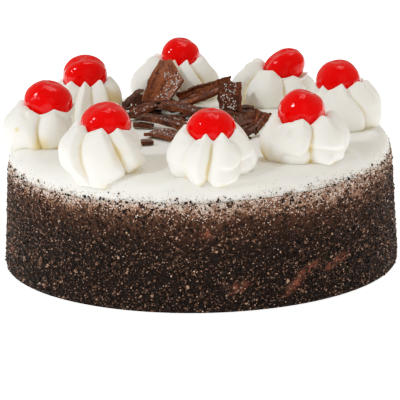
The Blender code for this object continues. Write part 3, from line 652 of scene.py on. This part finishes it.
def water_material():
    """Beads of condensed water: clear, bright where they catch the light."""
    return new_material("condensed_water", {
        "Base Color": (0.95, 0.95, 0.95, 1), "Roughness": 0.08, "IOR": 1.33, "Transmission Weight": 0.35})[0]


# ---------------- the cake's main lines


def deck(x):
    """Height of the cream surface, which rises a little along +X."""
    return DECK_HEIGHT + DECK_TILT * x


def crumb_line(x, y):
    return CRUMB_LINE + LINE_TILT[0] * x + LINE_TILT[1] * y


def cream_surface(x, y):
    """Height of the cream at a place on the deck or out on its rounded shoulder."""
    beyond = np.clip(np.hypot(x, y) - (CREAM_RADIUS - SHOULDER), 0, SHOULDER)
    return deck(x) - SHOULDER + np.sqrt(SHOULDER ** 2 - beyond ** 2)


def side_radius(z):
    """Radius of the cake under its crumbs at a height."""
    return SIDE_RADIUS + FOOT_SPREAD * np.clip(1 - z / CRUMB_LINE, 0, 1)


def skin_place(plan, depth):
    """Points and outward directions on the cake's skin: depth runs down from the crumb line, or up if
    it is below zero, over the cream's shoulder and in across the deck."""
    c, s = np.cos(plan), np.sin(plan)
    line = crumb_line(CREAM_RADIUS * c, CREAM_RADIUS * s)
    wall_top = deck(CREAM_RADIUS * c) - SHOULDER
    climb = -depth - (wall_top - line)
    turn = np.clip(climb / SHOULDER, 0, pi / 2)
    inward = np.maximum(climb - SHOULDER * pi / 2, 0)
    over = climb > 0
    z = np.where(over, wall_top + SHOULDER * np.sin(turn), line - depth)
    radius = np.where(depth > 0, side_radius(z), CREAM_RADIUS)
    radius = np.where(over, CREAM_RADIUS - SHOULDER * (1 - np.cos(turn)) - inward, radius)
    z = np.where(inward > 0, deck(radius * c), z)
    return ring(radius, plan, z), ring(np.cos(turn), plan, np.sin(turn))


def thin_coat(plan, z):
    """How bare the crumb coat is, from 0 to 1, inside the thin places, which have ragged edges."""
    bare = np.zeros_like(z)
    for angle, height, half_width, half_height, slope in PATCHES:
        across = (plan + pi / 2 - radians(angle) + pi) % tau - pi
        across = across * SIDE_RADIUS
        up = z - height - slope * across
        away = np.hypot(across / half_width, up / half_height)
        bare = np.maximum(bare, 1 - smooth_step(away, *PATCH_EDGE))
    spots = ring(SIDE_RADIUS, plan, z)[bare > 0]
    bare[bare > 0] *= np.clip(PATCH_FILL + uneven(spots, PATCH_LAYERS), 0, 1)
    return bare


def stain_depth(plan, depth):
    """Depth below the crumb line, less where the stained cream reaches lower."""
    shown = depth
    for angle, spread, drop in STAIN_DRIFTS:
        away = degrees_off(np.degrees(plan) + 90, angle)
        shown = shown - drop * np.exp(-(away / spread) ** 2) * smooth_step(depth, 0, STAIN_START)
    return shown


# ---------------- crumbed side


def build_side(looks):
    """The cake's side and underside, uneven under the crumbs."""
    plan = np.arange(looks.side_columns) * tau / looks.side_columns
    line = crumb_line(SIDE_RADIUS * np.cos(plan), SIDE_RADIUS * np.sin(plan))
    share = np.linspace(0, 1, looks.side_rows)[:, None]
    z = line[None] * share
    radius = side_radius(z)
    relief = looks.side_relief / MM * uneven(ring(radius, plan, z), SIDE_LAYERS)
    wall = ring(radius + relief * smooth_step(share, 0.0, EVEN_FOOT), plan, z)
    low, high = np.zeros_like(wall[:1]), np.zeros_like(wall[:1])
    high[..., 2] = CRUMB_LINE
    plan = np.broadcast_to(plan, z.shape)
    paint = {"depth": stain_depth(plan, line[None] - z), "thin": thin_coat(plan, z)}
    paint = {key: np.pad(values, ((1, 1), (0, 0)), "edge") for key, values in paint.items()}
    piece = wrap_grid("cake_side", np.concatenate([low, wall, high]), paint)
    finish_piece(piece, crumb_coat_material(), replaces=("cake",))


def crumb_share(name, depth, bare, clump):
    """Chance that a crumb of one kind lies at a depth below the crumb line."""
    if name == "crumbs_loose":
        return np.exp(-np.abs(depth - LOOSE_MIDDLE) / LOOSE_FADE) + LOOSE_STRAYS
    above = np.exp(np.minimum(depth, 0) / COAT_FADE)
    if name == "crumbs_pale":
        band = np.exp(-np.maximum(depth - PALE_START, 0) / PALE_FADE) + PALE_STRAYS
        return above * band * (0.7 + 0.6 * clump)
    ramp = TOP_COVER + (1 - TOP_COVER) * smooth_step(depth + 4 * clump, 0, FULL_COVER_AT)
    return above * ramp * (1 - BARE_LOSS * bare)


def crumb_tone(name, depth, size, bare, blotch, rng):
    """Tone of each crumb, from 0 for dark to 1 for pale: paler near the cream and in the thin places."""
    if name == "crumbs_pale":
        return 1.0 - smooth_step(depth, -0.5, 9) * 0.72 + rng.normal(0, 0.30, len(depth))
    tone = rng.beta(0.8, 2.2, len(depth)) * (1 + 1.2 * blotch) * (1.25 - 0.45 * smooth_step(size, 0.5, 1.1))
    return tone + (0.10 * (1 - smooth_step(depth, 3, 16)) + 0.25 * bare)


def random_turns(rng, count):
    """Rotation matrices in all directions alike, from quaternions."""
    spin = rng.normal(size=(count, 4))
    spin /= np.linalg.norm(spin, axis=1, keepdims=True)
    w, x, y, z = spin.T
    return np.stack([1 - 2 * (y * y + z * z), 2 * (x * y - z * w), 2 * (x * z + y * w),
                     2 * (x * y + z * w), 1 - 2 * (x * x + z * z), 2 * (y * z - x * w),
                     2 * (x * z - y * w), 2 * (y * z + x * w), 1 - 2 * (x * x + y * y)], 1).reshape(-1, 3, 3)


def drop_crumbs(name, looks, material, ball):
    """Scatter one kind of crumb over the skin as one mesh of small broken lumps."""
    kind = CRUMBS[name]
    rng = np.random.default_rng(kind["seed"])
    count = int(kind["count"] * looks.crumb_amount)
    tries = count * CRUMB_TRIES
    plan = rng.uniform(0, tau, tries)
    depth = rng.uniform(*(LOOSE_BAND if name == "crumbs_loose" else COAT_BAND), tries)
    spots, out = skin_place(plan, depth)
    clump = uneven(spots, CLUMP_LAYERS)
    bare = thin_coat(plan, spots[:, 2])
    depth = stain_depth(plan, depth)
    kept = rng.random(tries) < crumb_share(name, depth, bare, clump)
    kept = np.flatnonzero(kept & (spots[:, 2] > CRUMB_FLOOR))[:count]
    spots, out, depth, bare = spots[kept], out[kept], depth[kept], bare[kept]
    count = len(kept)
    low, high = kind["size"]
    size = low + (high - low) * rng.random(count) ** SMALL_BIAS
    blotch = uneven(spots, BLOTCH_LAYERS)
    spots = spots + out * (size * kind["sit"] + HEAPING * blotch)[:, None]
    points, faces = ball
    lumps = points[None] * 0.5 * rng.uniform(*CRUMB_SQUASH, (count, 1, 3))
    lumps = lumps * rng.uniform(*CRUMB_JITTER, (count, len(points), 1)) * size[:, None, None]
    lumps = np.einsum("nij,nkj->nki", random_turns(rng, count), lumps) + spots[:, None]
    lumps[..., 2] = np.maximum(lumps[..., 2], 0.02)
    tone = crumb_tone(name, depth, size, bare, blotch, rng)
    piece = joined_mesh(name, lumps, faces)
    paint_points(piece, "tone", np.repeat(np.clip(tone, 0, 1), len(points)))
    finish_piece(piece, material, flat=True)


# ---------------- cream


def spatula_mark(spots, line, spread):
    """A smooth ridge along a line of points in plan, steeper on its right, that fades at both ends."""
    def profile(away, left, walked):
        return np.sin(pi * walked) * np.exp(-(away / np.where(left, spread, STEEP_SIDE * spread)) ** 2)

    return follow_line(spots, line, profile)


def build_cream_top(looks, material):
    """The cream layer: a disc with a rounded shoulder, smoothed with a spatula."""
    plan = np.arange(looks.deck_columns) * tau / looks.deck_columns
    c, s = np.cos(plan), np.sin(plan)
    line = crumb_line(CREAM_RADIUS * c, CREAM_RADIUS * s)
    wall_top = deck(CREAM_RADIUS * c) - SHOULDER
    flat = CREAM_RADIUS - SHOULDER
    wall = 0 * plan + CREAM_RADIUS
    rows = [(0 * plan, line), (wall, line + 0.02), (wall, (line + wall_top) / 2)]
    for turn in np.linspace(0, pi / 2, looks.shoulder_rows):
        rows.append((CREAM_RADIUS - SHOULDER * (1 - cos(turn)) + 0 * plan, wall_top + SHOULDER * sin(turn)))
    for share in np.linspace(0, 1, looks.deck_rows)[1:]:
        radius = flat * (1 - share) + 0 * plan
        rows.append((radius, deck(radius * c)))
    radius, z = (np.stack(values) for values in zip(*rows))
    spots = ring(radius, plan, z)
    swell = uneven(spots, DECK_LAYERS) * looks.cream_relief
    swell[0] = 0
    marks = np.zeros_like(z)
    for line, rise, spread in SPATULA_MARKS:
        marks += rise * looks.spatula_depth * spatula_mark(spots[..., :2], line, spread)
    marks *= np.sqrt(np.clip((z - wall_top) / SHOULDER, 0, 1))
    turn = np.clip((radius - flat) / SHOULDER, 0, 1)
    z = z + swell * (1 - turn) + marks * np.sqrt(1 - turn ** 2)
    radius = radius - (EDGE_SCRAPE + swell) * turn * EDGE_SHARE + marks * turn ** 2
    piece = wrap_grid("cream_layer", ring(radius, plan, z), {"crease": np.zeros_like(z)})
    finish_piece(piece, material, replaces=("cream_top",))


def belly_profile(share, full):
    """Radius of a rosette at a share of its height, as a share of its belly radius."""
    belly_at = BELLY_AT + (FULL_BELLY_AT - BELLY_AT) * full
    top = TOP_REACH + (FULL_TOP_REACH - TOP_REACH) * full
    low = 1 - FOOT_TUCK * (1 - share / belly_at) ** 2
    rise = np.clip((share - belly_at) / (1 - belly_at), 0, 1)
    return np.where(share < belly_at, low, 1 - (1 - top) * rise ** (DOME + (FULL_DOME - DOME) * full))


def read_ridges(ridges, angle, share):
    """Height on the piped ridge at each place on a wall, from 0 in a full groove to 1 on a crest, and
    that ridge's reach and fullness, and the rise to its pointed tip."""
    foot, middle, tip = np.array([row[0] for row in ridges], float).T[:, :, None, None]
    starts = foot * (1 - share) * (1 - 2 * share) + middle * 4 * share * (1 - share)
    starts = starts + tip * share * (2 * share - 1)
    ends = np.concatenate([starts[1:], starts[:1] + 360])
    bump, reach, full, tent = np.zeros((4, *angle.shape))
    for row, start, end in zip(ridges, starts, ends):
        _, row_reach, row_full, crest, keen, left, right = row + PLAIN_RIDGE[len(row) - 2:]
        across = ((angle - start) % 360) / (end - start)
        inside = across < 1
        side = np.where(across < crest, 1 - across / crest, (across - crest) / (1 - crest))
        side = np.clip(side, 0, 1)
        round_ridge = np.sqrt(1 - side * side)
        height = round_ridge + (1 - side - round_ridge) * np.clip(keen * (0.35 + 0.9 * share), 0, 0.95)
        drop = np.where(across < crest, left, right)
        bump = np.where(inside, 1 - drop * (1 - height), bump)
        reach = np.where(inside, row_reach, reach)
        full = np.where(inside, row_full, full)
        tent = np.where(inside, 1 - side, tent)
    return bump, reach, full, tent


def crease_cut(crease, angle, share, shape):
    """How deep one crease cuts into a wall: a sharp line that fades out at both ends and both sides."""
    line, depth, left_spread, right_spread = crease
    scale = np.array((radians(1) * shape["belly"] * 0.95, shape["height"]))
    spots = np.stack([degrees_off(angle, 0), share + 0 * angle], -1) * scale

    def profile(away, left, walked):
        fade = np.sqrt(np.clip(4 * walked * (1 - walked), 0, 1))
        return depth * fade * np.exp(-away / np.where(left, left_spread, right_spread))

    return follow_line(spots, np.array(line) * scale, profile)


def soft_spots(rows, angle, share, shape):
    """Soft round spots on a wall: their height or strength at each place, one by one."""
    for at_angle, at_share, amount, spread in rows:
        across = radians(1) * degrees_off(angle, at_angle) * shape["belly"]
        up = (share - at_share) * shape["height"]
        yield amount * np.exp(-(across ** 2 + up ** 2) / spread ** 2)


def clear_cup(x, y, z, middle, cup, lip):
    """Push the points of a wall out of the cup of a cherry, and leave a lip of cream round it."""
    level = z - middle[2]
    need = np.sqrt(np.clip(cup * cup - level * level, 0, None)) + lip
    dx, dy = x - middle[0], y - middle[1]
    away = np.hypot(dx, dy)
    push = np.where((np.abs(level) < cup) & (away < need), need / away, 1)
    return np.stack([middle[0] + dx * push, middle[1] + dy * push, z], 2)


def rosette_wall(shape, seed, looks, cup_middle, cup):
    """A rosette's ridged wall outside the cup for its cherry, and how much painted yellow shade each place
    gets.
    """
    x0, y0 = shape["at"]
    columns, rows = looks.rosette_columns, looks.rosette_rows
    share = np.broadcast_to(np.linspace(0, 1, rows)[:, None], (rows, columns))
    angle = np.broadcast_to(np.arange(columns) * 360 / columns, (rows, columns))
    plain_wall = ring(shape["belly"], np.radians(angle), share * shape["height"])
    sway = uneven(plain_wall, SWAY_LAYERS, seed) * looks.ridge_sway
    bump, reach, full, tent = read_ridges(shape["ridges"], angle + sway, share)
    side, rise = shape.get("lean", UPRIGHT)
    tip = shape["height"] * (1 + rise * np.cos(np.radians(angle - side)) * share)
    dip = (shape["dip"] + TIP_RISE) * (1 - tent ** TIP_POINT) * share ** 2
    height = share * tip * (1 + TIP_RISE - dip)
    depth = GROOVE * (0.55 + 0.9 * share * (1.25 - share))
    radius = belly_profile(share, full) * reach * (1 - depth * (1 - bump)) * shape["belly"]
    cut = np.zeros_like(radius)
    for crease in shape.get("creases", ()):
        cut = np.maximum(cut, crease_cut(crease, angle, share, shape))
    radius = radius - cut
    height = height - cut * share ** 6
    for spot in soft_spots(shape.get("swells", ()), angle, share, shape):
        radius = radius + spot
    x, y, _ = np.moveaxis(ring(radius, np.radians(angle - 90), height, (x0, y0)), -1, 0)
    inward = np.minimum(1, (FOOT_LIMIT + share * shape["belly"]) / np.hypot(x, y))
    x, y = x * inward, y * inward
    settle = deck(x) - looks.foot_sink / MM - (deck(x) - cream_surface(x, y)) * (1 - share) ** 2
    z = settle + height
    wall = blur(clear_cup(x, y, z, cup_middle, cup, looks.rim_lip / MM), looks.soften)
    outward = wall[..., :2] - (x0, y0)
    outward /= np.linalg.norm(outward, axis=2, keepdims=True)
    wall[..., :2] += outward * (uneven(wall, PIPING_LAYERS, seed) * looks.rosette_relief)[..., None]

    # Painted shade: yellower, darker cream in the wall's hollows, at its foot and at the listed spots.
    radial = np.linalg.norm(wall[..., :2] - (x0, y0), axis=2)
    hollow = blur(radial, HOLLOW_BLUR) - radial
    crease = HOLLOW_SHADE * smooth_step(hollow, *HOLLOW_DEPTHS) * (1 - 0.5 * share)
    crease = crease + FOOT_SHADE * (1 - smooth_step(share, 0.0, FOOT_SHADE_TO))
    for spot in soft_spots(shape["shade_spots"], angle, share, shape):
        crease = crease + spot
    return wall, crease


def build_rosette(name, cherry_name, looks, material):
    """One piped rosette: ridged wall, rim of pointed tips, and the cup that holds its cherry."""
    shape = ROSETTES[name]
    cherry_low, cherry_high = (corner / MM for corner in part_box(cherry_name))
    middle = tuple((cherry_low + cherry_high) / 2)
    cup = max(CHERRIES[cherry_name][0]) + looks.cup_gap / MM
    wall, crease = rosette_wall(shape, 20 + int(name[-1]), looks, middle, cup)
    x0, y0 = shape["at"]
    foot = []
    for size in FOOT_RINGS:
        x, y = x0 + (wall[0, :, 0] - x0) * size, y0 + (wall[0, :, 1] - y0) * size
        foot.append(np.stack([x, y, cream_surface(x, y) - looks.foot_sink / MM - 0.1], 1))
    rim = wall[-1]
    plan = np.arctan2(rim[:, 1] - middle[1], rim[:, 0] - middle[0])
    fall = np.arcsin(np.clip((rim[:, 2] - middle[2]) / cup, *CUP_BAND))

    def cup_ring(turn):
        return ring(cup * np.cos(turn), plan, middle[2] + cup * np.sin(turn), middle)

    inner = cup_ring(fall)
    lip = []
    for turn in np.arange(1, LIP_ROWS + 1) * pi / LIP_ROWS:
        lip.append(rim + (inner - rim) * (1 - cos(turn)) / 2)
        lip[-1][:, 2] += np.linalg.norm(inner - rim, axis=1) * LIP_BULGE * sin(turn)
    hole = [cup_ring(fall + (-pi / 2 - fall) * step / CUP_ROWS) for step in range(1, CUP_ROWS + 1)]
    surface = np.concatenate([np.stack(foot), wall, np.stack(lip + hole)])
    # The rings under the foot get the full painted shade.
    crease = np.pad(crease, ((len(foot), 0), (0, 0)), constant_values=1.0)
    crease = np.pad(crease, ((0, len(lip) + len(hole)), (0, 0)))
    piece = wrap_grid("piped_" + name, surface, {"crease": crease})
    finish_piece(piece, material, replaces=(name,))


# ---------------- cherries


def build_cherry(name, looks, material):
    """One glazed cherry: a ball with a cleft, a stalk dimple and a slightly lumpy skin."""
    size, lean, (angle, depth, width) = CHERRIES[name]
    low, high = (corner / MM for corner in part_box(name))
    select_only()
    bpy.ops.mesh.primitive_ico_sphere_add(subdivisions=looks.cherry_detail, radius=MM)
    piece = bpy.context.object
    piece.name = "glazed_" + name
    ball = points_of(piece)
    side = np.array((cos(radians(angle)), sin(radians(angle)), CLEFT_LEAN))
    side /= np.linalg.norm(side)
    cleft = depth * np.exp(-(ball @ side / width) ** 2) * smooth_step(ball[:, 2], *CLEFT_BAND)
    lumps = uneven(ball, CHERRY_LAYERS, 40 + int(name[-1]))
    dimple = DIMPLE_DEPTH / size[2] * np.exp(-(np.hypot(ball[:, 0], ball[:, 1]) / DIMPLE_WIDTH) ** 2)
    ball = ball * (1 - cleft + lumps - dimple * (ball[:, 2] > 0))[:, None]
    tilt = np.array(Euler((0, radians(lean), 0)).to_matrix())
    put_points(piece, np.clip((ball * size) @ tilt.T + (low + high) / 2, low, high))
    finish_piece(piece, material, replaces=(name,))


# ---------------- chocolate


def shard_points(shape, along, across, off=0.0):
    """Points on a shard's curled sheet, off mm from its middle on its hollow side, before it is placed."""
    left = np.interp(along, (0, 0.5, 1), shape.left)
    right = np.interp(along, (0, 0.5, 1), shape.right)
    radius = (max(shape.left) + max(shape.right)) / radians(shape.curl)
    turn = (left - (left + right) * across) / radius
    shell = radius - off
    x = (along - 0.5) * shape.size[0]
    z = radius - shell * np.cos(turn) - shape.bow * (2 * along - 1) ** 2
    return np.stack([x, shell * np.sin(turn), z], 1)


def place_shard(shape, points, base=None):
    """Turn a shard's points and set its lowest one at its height above the cream."""
    turn = np.array(Euler([radians(v) for v in shape.turn]).to_matrix())
    placed = points @ turn.T + (*shape.at, 0)
    if base is None:
        base = shape.lift - np.min(placed[:, 2] - deck(placed[:, 0]))
    return placed + (0, 0, base), base


def broken_edge(share, width, jag, reach):
    """Move the places near both edges of a sheet in or out, as its edge is broken."""
    near = np.exp(-np.minimum(share, 1 - share) * width / EDGE_BAND)
    return share - near * jag * reach / width * np.sign(share - 0.5)


def make_shard(name, shape, seed, looks):
    """One scraped piece of chocolate: a thin curled sheet with drag lines and broken edges."""
    length, thickness = shape.size
    width = max(shape.left) + max(shape.right)
    relief = looks.shard_relief * (SMOOTH_RELIEF if name.endswith(SMOOTH_SHARDS) else 1.0)
    columns, rows = (max(6, int(size * looks.shard_detail)) for size in (length, width))
    piece, along, across = new_grid(name, columns, rows)
    spot = np.stack([along * length, across * width, 0 * along], 1)
    drag = uneven(spot, DRAG_LAYERS, seed)
    rough = uneven(spot, ROUGH_LAYERS, seed)
    jag = looks.shard_jag / MM
    along = broken_edge(along, length, 0.15 + uneven(spot, END_LAYERS, seed), jag)
    across = broken_edge(across, width, (0.1 + uneven(spot, EDGE_LAYERS, seed)) * 0.6, jag)
    points = shard_points(shape, along, across)
    inward = shard_points(shape, along, across, 1.0) - points
    points += inward * (DRAG_DEPTH * drag + DRAG_DEPTH * rough)[:, None] * relief
    points, base = place_shard(shape, points)
    points[:, 2] += thickness / 2
    put_points(piece, points)
    paint_points(piece, "drag", 0.5 + LIGHT_SHARDS.get(name, 0.0) + 0.5 * drag)
    bpy.context.view_layer.objects.active = piece
    thick = piece.modifiers.new("thickness", "SOLIDIFY")
    thick.thickness = thickness * MM
    thick.offset = 0.0
    bpy.ops.object.modifier_apply(modifier=thick.name)
    return piece, base + thickness / 2


def build_flakes(looks, material):
    """The smaller flakes and slivers that lie among the shards, as one mesh."""
    made = []
    for row, (x, y, length, width, turn, curl, *rest) in enumerate(FLAKES):
        thickness, lift = rest or USUAL_FLAKE
        left, right = ([width * share for share in side] for side in (FLAKE_LEFT, FLAKE_RIGHT))
        shape = Shard((length, FLAKE_THINNING * thickness), left, right, curl, FLAKE_BOW * length,
                      (x, y), turn, lift)
        made.append(make_shard("flake", shape, 60 + row, looks)[0])
    select_only(*made)
    bpy.ops.object.join()
    made[0].name = "chocolate_flakes"
    finish_piece(made[0], material, sharp=SHARP_EDGE)


def build_beads(bases, looks, material):
    """Beads of water on the wet faces of some shards."""
    points, faces = ball_shape(2)
    places, sizes = [], []
    rng = np.random.default_rng(31)
    for name, (count, along_range, across_range) in BEADS.items():
        shape = SHARDS[name]
        along, across = rng.uniform(*along_range, count), rng.uniform(*across_range, count)
        face = shape.size[1] / 2
        hollow, back = (place_shard(shape, shard_points(shape, along, across, off), bases[name])[0]
                        for off in (face, -face))
        wet = (hollow - back) @ WET_SIDE > 0
        places.append(np.where(wet[:, None], hollow, back))
        sizes.append(looks.bead_size / MM * rng.uniform(*BEAD_SIZES, count))
    beads = points[None] * np.concatenate(sizes)[:, None, None] + np.concatenate(places)[:, None]
    finish_piece(joined_mesh("water_beads", beads, faces), material)


# ---------------- stage


def build_floor(looks):
    bpy.ops.mesh.primitive_plane_add(size=12, location=(0, 0, -0.0005))
    floor = bpy.context.object
    floor.name = "floor"
    material, _, _ = new_material("white_paper_sweep", {
        "Base Color": (0.9, 0.9, 0.9, 1), "Roughness": 0.9, "Specular IOR Level": 0.0,
        "Emission Color": (1, 1, 1, 1), "Emission Strength": looks.floor_glow})
    floor.data.materials.append(material)


def set_tones(view):
    """A soft tone curve that keeps the cream's highlights from burning out."""
    view.view_transform = "Standard"
    view.use_curve_mapping = True
    mapping = view.curve_mapping
    mapping.clip_max_x = TONE_END
    curve = mapping.curves[3]
    curve.points[1].location = TONE_WHITE
    for place in TONE_CURVE:
        curve.points.new(*place)
    mapping.update()


def build_lights(looks):
    """Light from the room, a key light and a low box at the left, and wide lights overhead and in front."""
    world = bpy.data.worlds.new("studio")
    bpy.context.scene.world = world
    world.use_nodes = True
    sky = world.node_tree.nodes["Background"].inputs
    sky["Color"].default_value = SKY_COLOUR
    sky["Strength"].default_value = looks.sky_light
    for name, place, size, power, colour in (
            ("key_light", (-2.0, -0.94, 2.0), looks.key_size, looks.key_power, COOL),
            ("left_box", (-2.4, -0.60, 1.10), 0.17, looks.box_power, COOL),
            ("top_box", (0.3, 0.5, 2.6), 1.2, looks.top_power, NEUTRAL),
            ("front_fill", (1.0, -3.4, 2.0), 2.6, looks.fill_power, NEUTRAL)):
        bpy.ops.object.light_add(type="AREA", location=place)
        lamp = bpy.context.object
        lamp.name = name
        lamp.data.size = size
        lamp.data.energy = power
        lamp.data.color = colour
        lamp.rotation_euler = (LIGHT_AIM - Vector(place)).to_track_quat("-Z", "Y").to_euler()


def build_camera(looks):
    tilt, roll = looks.camera_height, looks.camera_roll
    back = Vector((0, -cos(tilt), sin(tilt)))
    right = Vector((1, 0, 0))
    up = right.cross(-back)
    level = Matrix((cos(roll) * right + sin(roll) * up, cos(roll) * up - sin(roll) * right, back))
    place = level.transposed().to_4x4()
    place.translation = Vector(looks.camera_aim) + back * looks.camera_distance
    bpy.ops.object.camera_add()
    camera = bpy.context.object
    camera.matrix_world = place
    camera.data.lens = looks.camera_lens
    camera.data.clip_end = 20
    bpy.context.scene.camera = camera


# ---------------- properties


class CakeLooks(bpy.types.PropertyGroup):
    side_columns: IntProperty(name="Side columns", description="Columns round the crumbed side", default=720)
    side_rows: IntProperty(name="Side rows", description="Rows up the crumbed side", default=70)
    side_relief: FloatProperty(
        name="Side relief", description="Unevenness under the crumbs", subtype="DISTANCE", default=0.35 * MM)
    crumb_amount: FloatProperty(
        name="Crumb amount", description="Share of the full count of crumbs", subtype="FACTOR", default=1.0)
    deck_columns: IntProperty(name="Cream columns", description="Columns round the cream layer", default=640)
    deck_rows: IntProperty(name="Cream rows", description="Rows across the cream's flat top", default=96)
    shoulder_rows: IntProperty(name="Shoulder rows", description="Rows over the cream's edge", default=22)
    cream_relief: FloatProperty(
        name="Cream relief", description="Depth of the cream's swells, as a factor", default=1.0)
    spatula_depth: FloatProperty(
        name="Spatula marks", description="Depth of the spatula's marks, as a factor", default=2.8)
    cream_colour: FloatVectorProperty(
        name="Cream", description="Whipped cream", subtype="COLOR", size=3, default=hex_colour("#F6F4EA"))
    # Colour of the painted yellow shade in the cream's creases and at its foot.
    crease_shade_colour: FloatVectorProperty(
        name="Crease", description="Cream in its creases", subtype="COLOR", size=3,
        default=hex_colour("#E9D39C"))
    rosette_columns: IntProperty(name="Rosette columns", description="Columns round one rosette", default=270)
    rosette_rows: IntProperty(name="Rosette rows", description="Rows up the wall of one rosette", default=72)
    ridge_sway: FloatProperty(
        name="Ridge sway", description="How far the ridges stray, in degrees", default=5.0)
    soften: IntProperty(name="Softness", description="Passes that soften a rosette's ridges", default=2)
    rosette_relief: FloatProperty(
        name="Rosette relief", description="Unevenness of the piping, as a factor", default=1.0)
    rim_lip: FloatProperty(
        name="Rim lip", description="Cream left outside a cherry at the rim", subtype="DISTANCE",
        default=0.7 * MM)
    cup_gap: FloatProperty(
        name="Cup gap", description="Clearance round a cherry", subtype="DISTANCE", default=0.1 * MM)
    foot_sink: FloatProperty(
        name="Foot sink", description="How far a rosette melts into the layer", subtype="DISTANCE",
        default=0.6 * MM)
    cherry_detail: IntProperty(name="Cherry detail", description="Subdivisions of a cherry's ball", default=5)
    cherry_colour: FloatVectorProperty(
        name="Cherry", description="Red glaze", subtype="COLOR", size=3, default=(0.88, 0.0, 0.0))
    shard_detail: FloatProperty(name="Shard detail", description="Mesh rows in each mm of a shard", default=3.0)
    shard_jag: FloatProperty(
        name="Shard edge", description="How far a broken edge strays", subtype="DISTANCE", default=1.1 * MM)
    shard_relief: FloatProperty(
        name="Shard relief", description="Depth of the drag lines, as a factor", default=1.0)
    bead_size: FloatProperty(
        name="Bead size", description="Radius of a bead of water", subtype="DISTANCE", default=0.27 * MM)
    floor_glow: FloatProperty(name="Floor glow", description="Light of the white sweep", default=1.3)
    sky_light: FloatProperty(name="Room light", description="Light from all round", default=0.39)
    key_power: FloatProperty(
        name="Key light", description="Power of the main light", unit="POWER", default=34.0)
    key_size: FloatProperty(
        name="Key size", description="Width of the main light", subtype="DISTANCE", default=0.34)
    box_power: FloatProperty(
        name="Left box", description="Power of the low light at the left", unit="POWER", default=4.0)
    top_power: FloatProperty(
        name="Top box", description="Power of the wide light overhead", unit="POWER", default=14.0)
    fill_power: FloatProperty(
        name="Front fill", description="Power of the wide light in front", unit="POWER", default=8.0)
    camera_height: FloatProperty(
        name="Camera height", description="Angle above the table", subtype="ANGLE", default=radians(15.3))
    camera_roll: FloatProperty(
        name="Camera roll", description="Roll of the camera", subtype="ANGLE", default=radians(-1.0))
    camera_distance: FloatProperty(
        name="Camera distance", description="Distance from the aim", subtype="DISTANCE", default=2.0)
    camera_lens: FloatProperty(
        name="Lens", description="Focal length in millimetres", unit="CAMERA", default=392.94)
    camera_aim: FloatVectorProperty(
        name="Camera aim", description="Point looked at", subtype="TRANSLATION", unit="LENGTH", size=3,
        default=(-0.0003, 0.0, 0.0272))


# ---------------- operators


class CAKE_OT_side(bpy.types.Operator):
    """Make the cake's side under its crumbs"""
    bl_idname = "cake.side"
    bl_label = "Cake side"

    def execute(self, context):
        build_side(context.scene.cake_looks)
        return {"FINISHED"}


class CAKE_OT_crumbs(bpy.types.Operator):
    """Scatter the crumbs over the side and the cream's edge"""
    bl_idname = "cake.crumbs"
    bl_label = "Crumbs"

    def execute(self, context):
        dark = crumb_material("dark_cake_crumb", (
            (0.0, "#050302"), (0.2, "#1A100A"), (0.45, "#3F2A1E"), (0.7, "#6E4F3E"), (1.0, "#A98873")),
            0.42, 0.12)
        pale = crumb_material("cocoa_dusted_cream_grain", (
            (0.0, "#4A3125"), (0.4, "#8E6A56"), (0.75, "#CFAF9C"), (1.0, "#F0E0D4")), 0.7, 0.15)
        coarse_ball = ball_shape(1)
        for name, kind in CRUMBS.items():
            drop_crumbs(name, context.scene.cake_looks, pale if name == "crumbs_pale" else dark,
                        coarse_ball if kind["coarse"] else OCTAHEDRON)
        return {"FINISHED"}


class CAKE_OT_cream(bpy.types.Operator):
    """Make the cream layer and its piped rosettes"""
    bl_idname = "cake.cream"
    bl_label = "Cream"

    def execute(self, context):
        looks = context.scene.cake_looks
        material = whipped_cream_material(looks)
        build_cream_top(looks, material)
        for name, cherry_name in zip(ROSETTES, CHERRIES):
            build_rosette(name, cherry_name, looks, material)
        return {"FINISHED"}


class CAKE_OT_cherries(bpy.types.Operator):
    """Make the glazed cherries"""
    bl_idname = "cake.cherries"
    bl_label = "Cherries"

    def execute(self, context):
        looks = context.scene.cake_looks
        material = cherry_material(looks)
        for name in CHERRIES:
            build_cherry(name, looks, material)
        return {"FINISHED"}


class CAKE_OT_chocolate(bpy.types.Operator):
    """Make the chocolate shards"""
    bl_idname = "cake.chocolate"
    bl_label = "Chocolate"

    def execute(self, context):
        looks = context.scene.cake_looks
        material = chocolate_material()
        bases = {}
        for seed, (name, shape) in enumerate(SHARDS.items()):
            piece, bases[name] = make_shard("scraped_" + name, shape, seed, looks)
            finish_piece(piece, material, replaces=(name,), sharp=SHARP_EDGE)
        build_flakes(looks, material)
        build_beads(bases, looks, water_material())
        return {"FINISHED"}


class CAKE_OT_stage(bpy.types.Operator):
    """Make the floor, the lights and the camera"""
    bl_idname = "cake.stage"
    bl_label = "Stage"

    def execute(self, context):
        looks = context.scene.cake_looks
        select_only()
        build_floor(looks)
        set_tones(context.scene.view_settings)
        build_lights(looks)
        build_camera(looks)
        return {"FINISHED"}


class CAKE_PT_panel(bpy.types.Panel):
    """The cake's operators"""
    bl_label = "Cake"
    bl_idname = "CAKE_PT_panel"
    bl_space_type = "VIEW_3D"
    bl_region_type = "UI"
    bl_category = "Cake"

    def draw(self, context):
        for operator in OPERATORS:
            self.layout.operator(operator.bl_idname)


OPERATORS = (CAKE_OT_side, CAKE_OT_crumbs, CAKE_OT_cream, CAKE_OT_cherries, CAKE_OT_chocolate, CAKE_OT_stage)
CLASSES = (CakeLooks, *OPERATORS, CAKE_PT_panel)


def register():
    for cls in CLASSES:
        bpy.utils.register_class(cls)
    bpy.types.Scene.cake_looks = PointerProperty(type=CakeLooks)


def unregister():
    del bpy.types.Scene.cake_looks
    for cls in reversed(CLASSES):
        bpy.utils.unregister_class(cls)


def main():
    register()
    bpy.ops.cake.side()
    bpy.ops.cake.crumbs()
    bpy.ops.cake.cream()
    bpy.ops.cake.cherries()
    bpy.ops.cake.chocolate()
    bpy.ops.cake.stage()


if __name__ == "__main__":
    main()
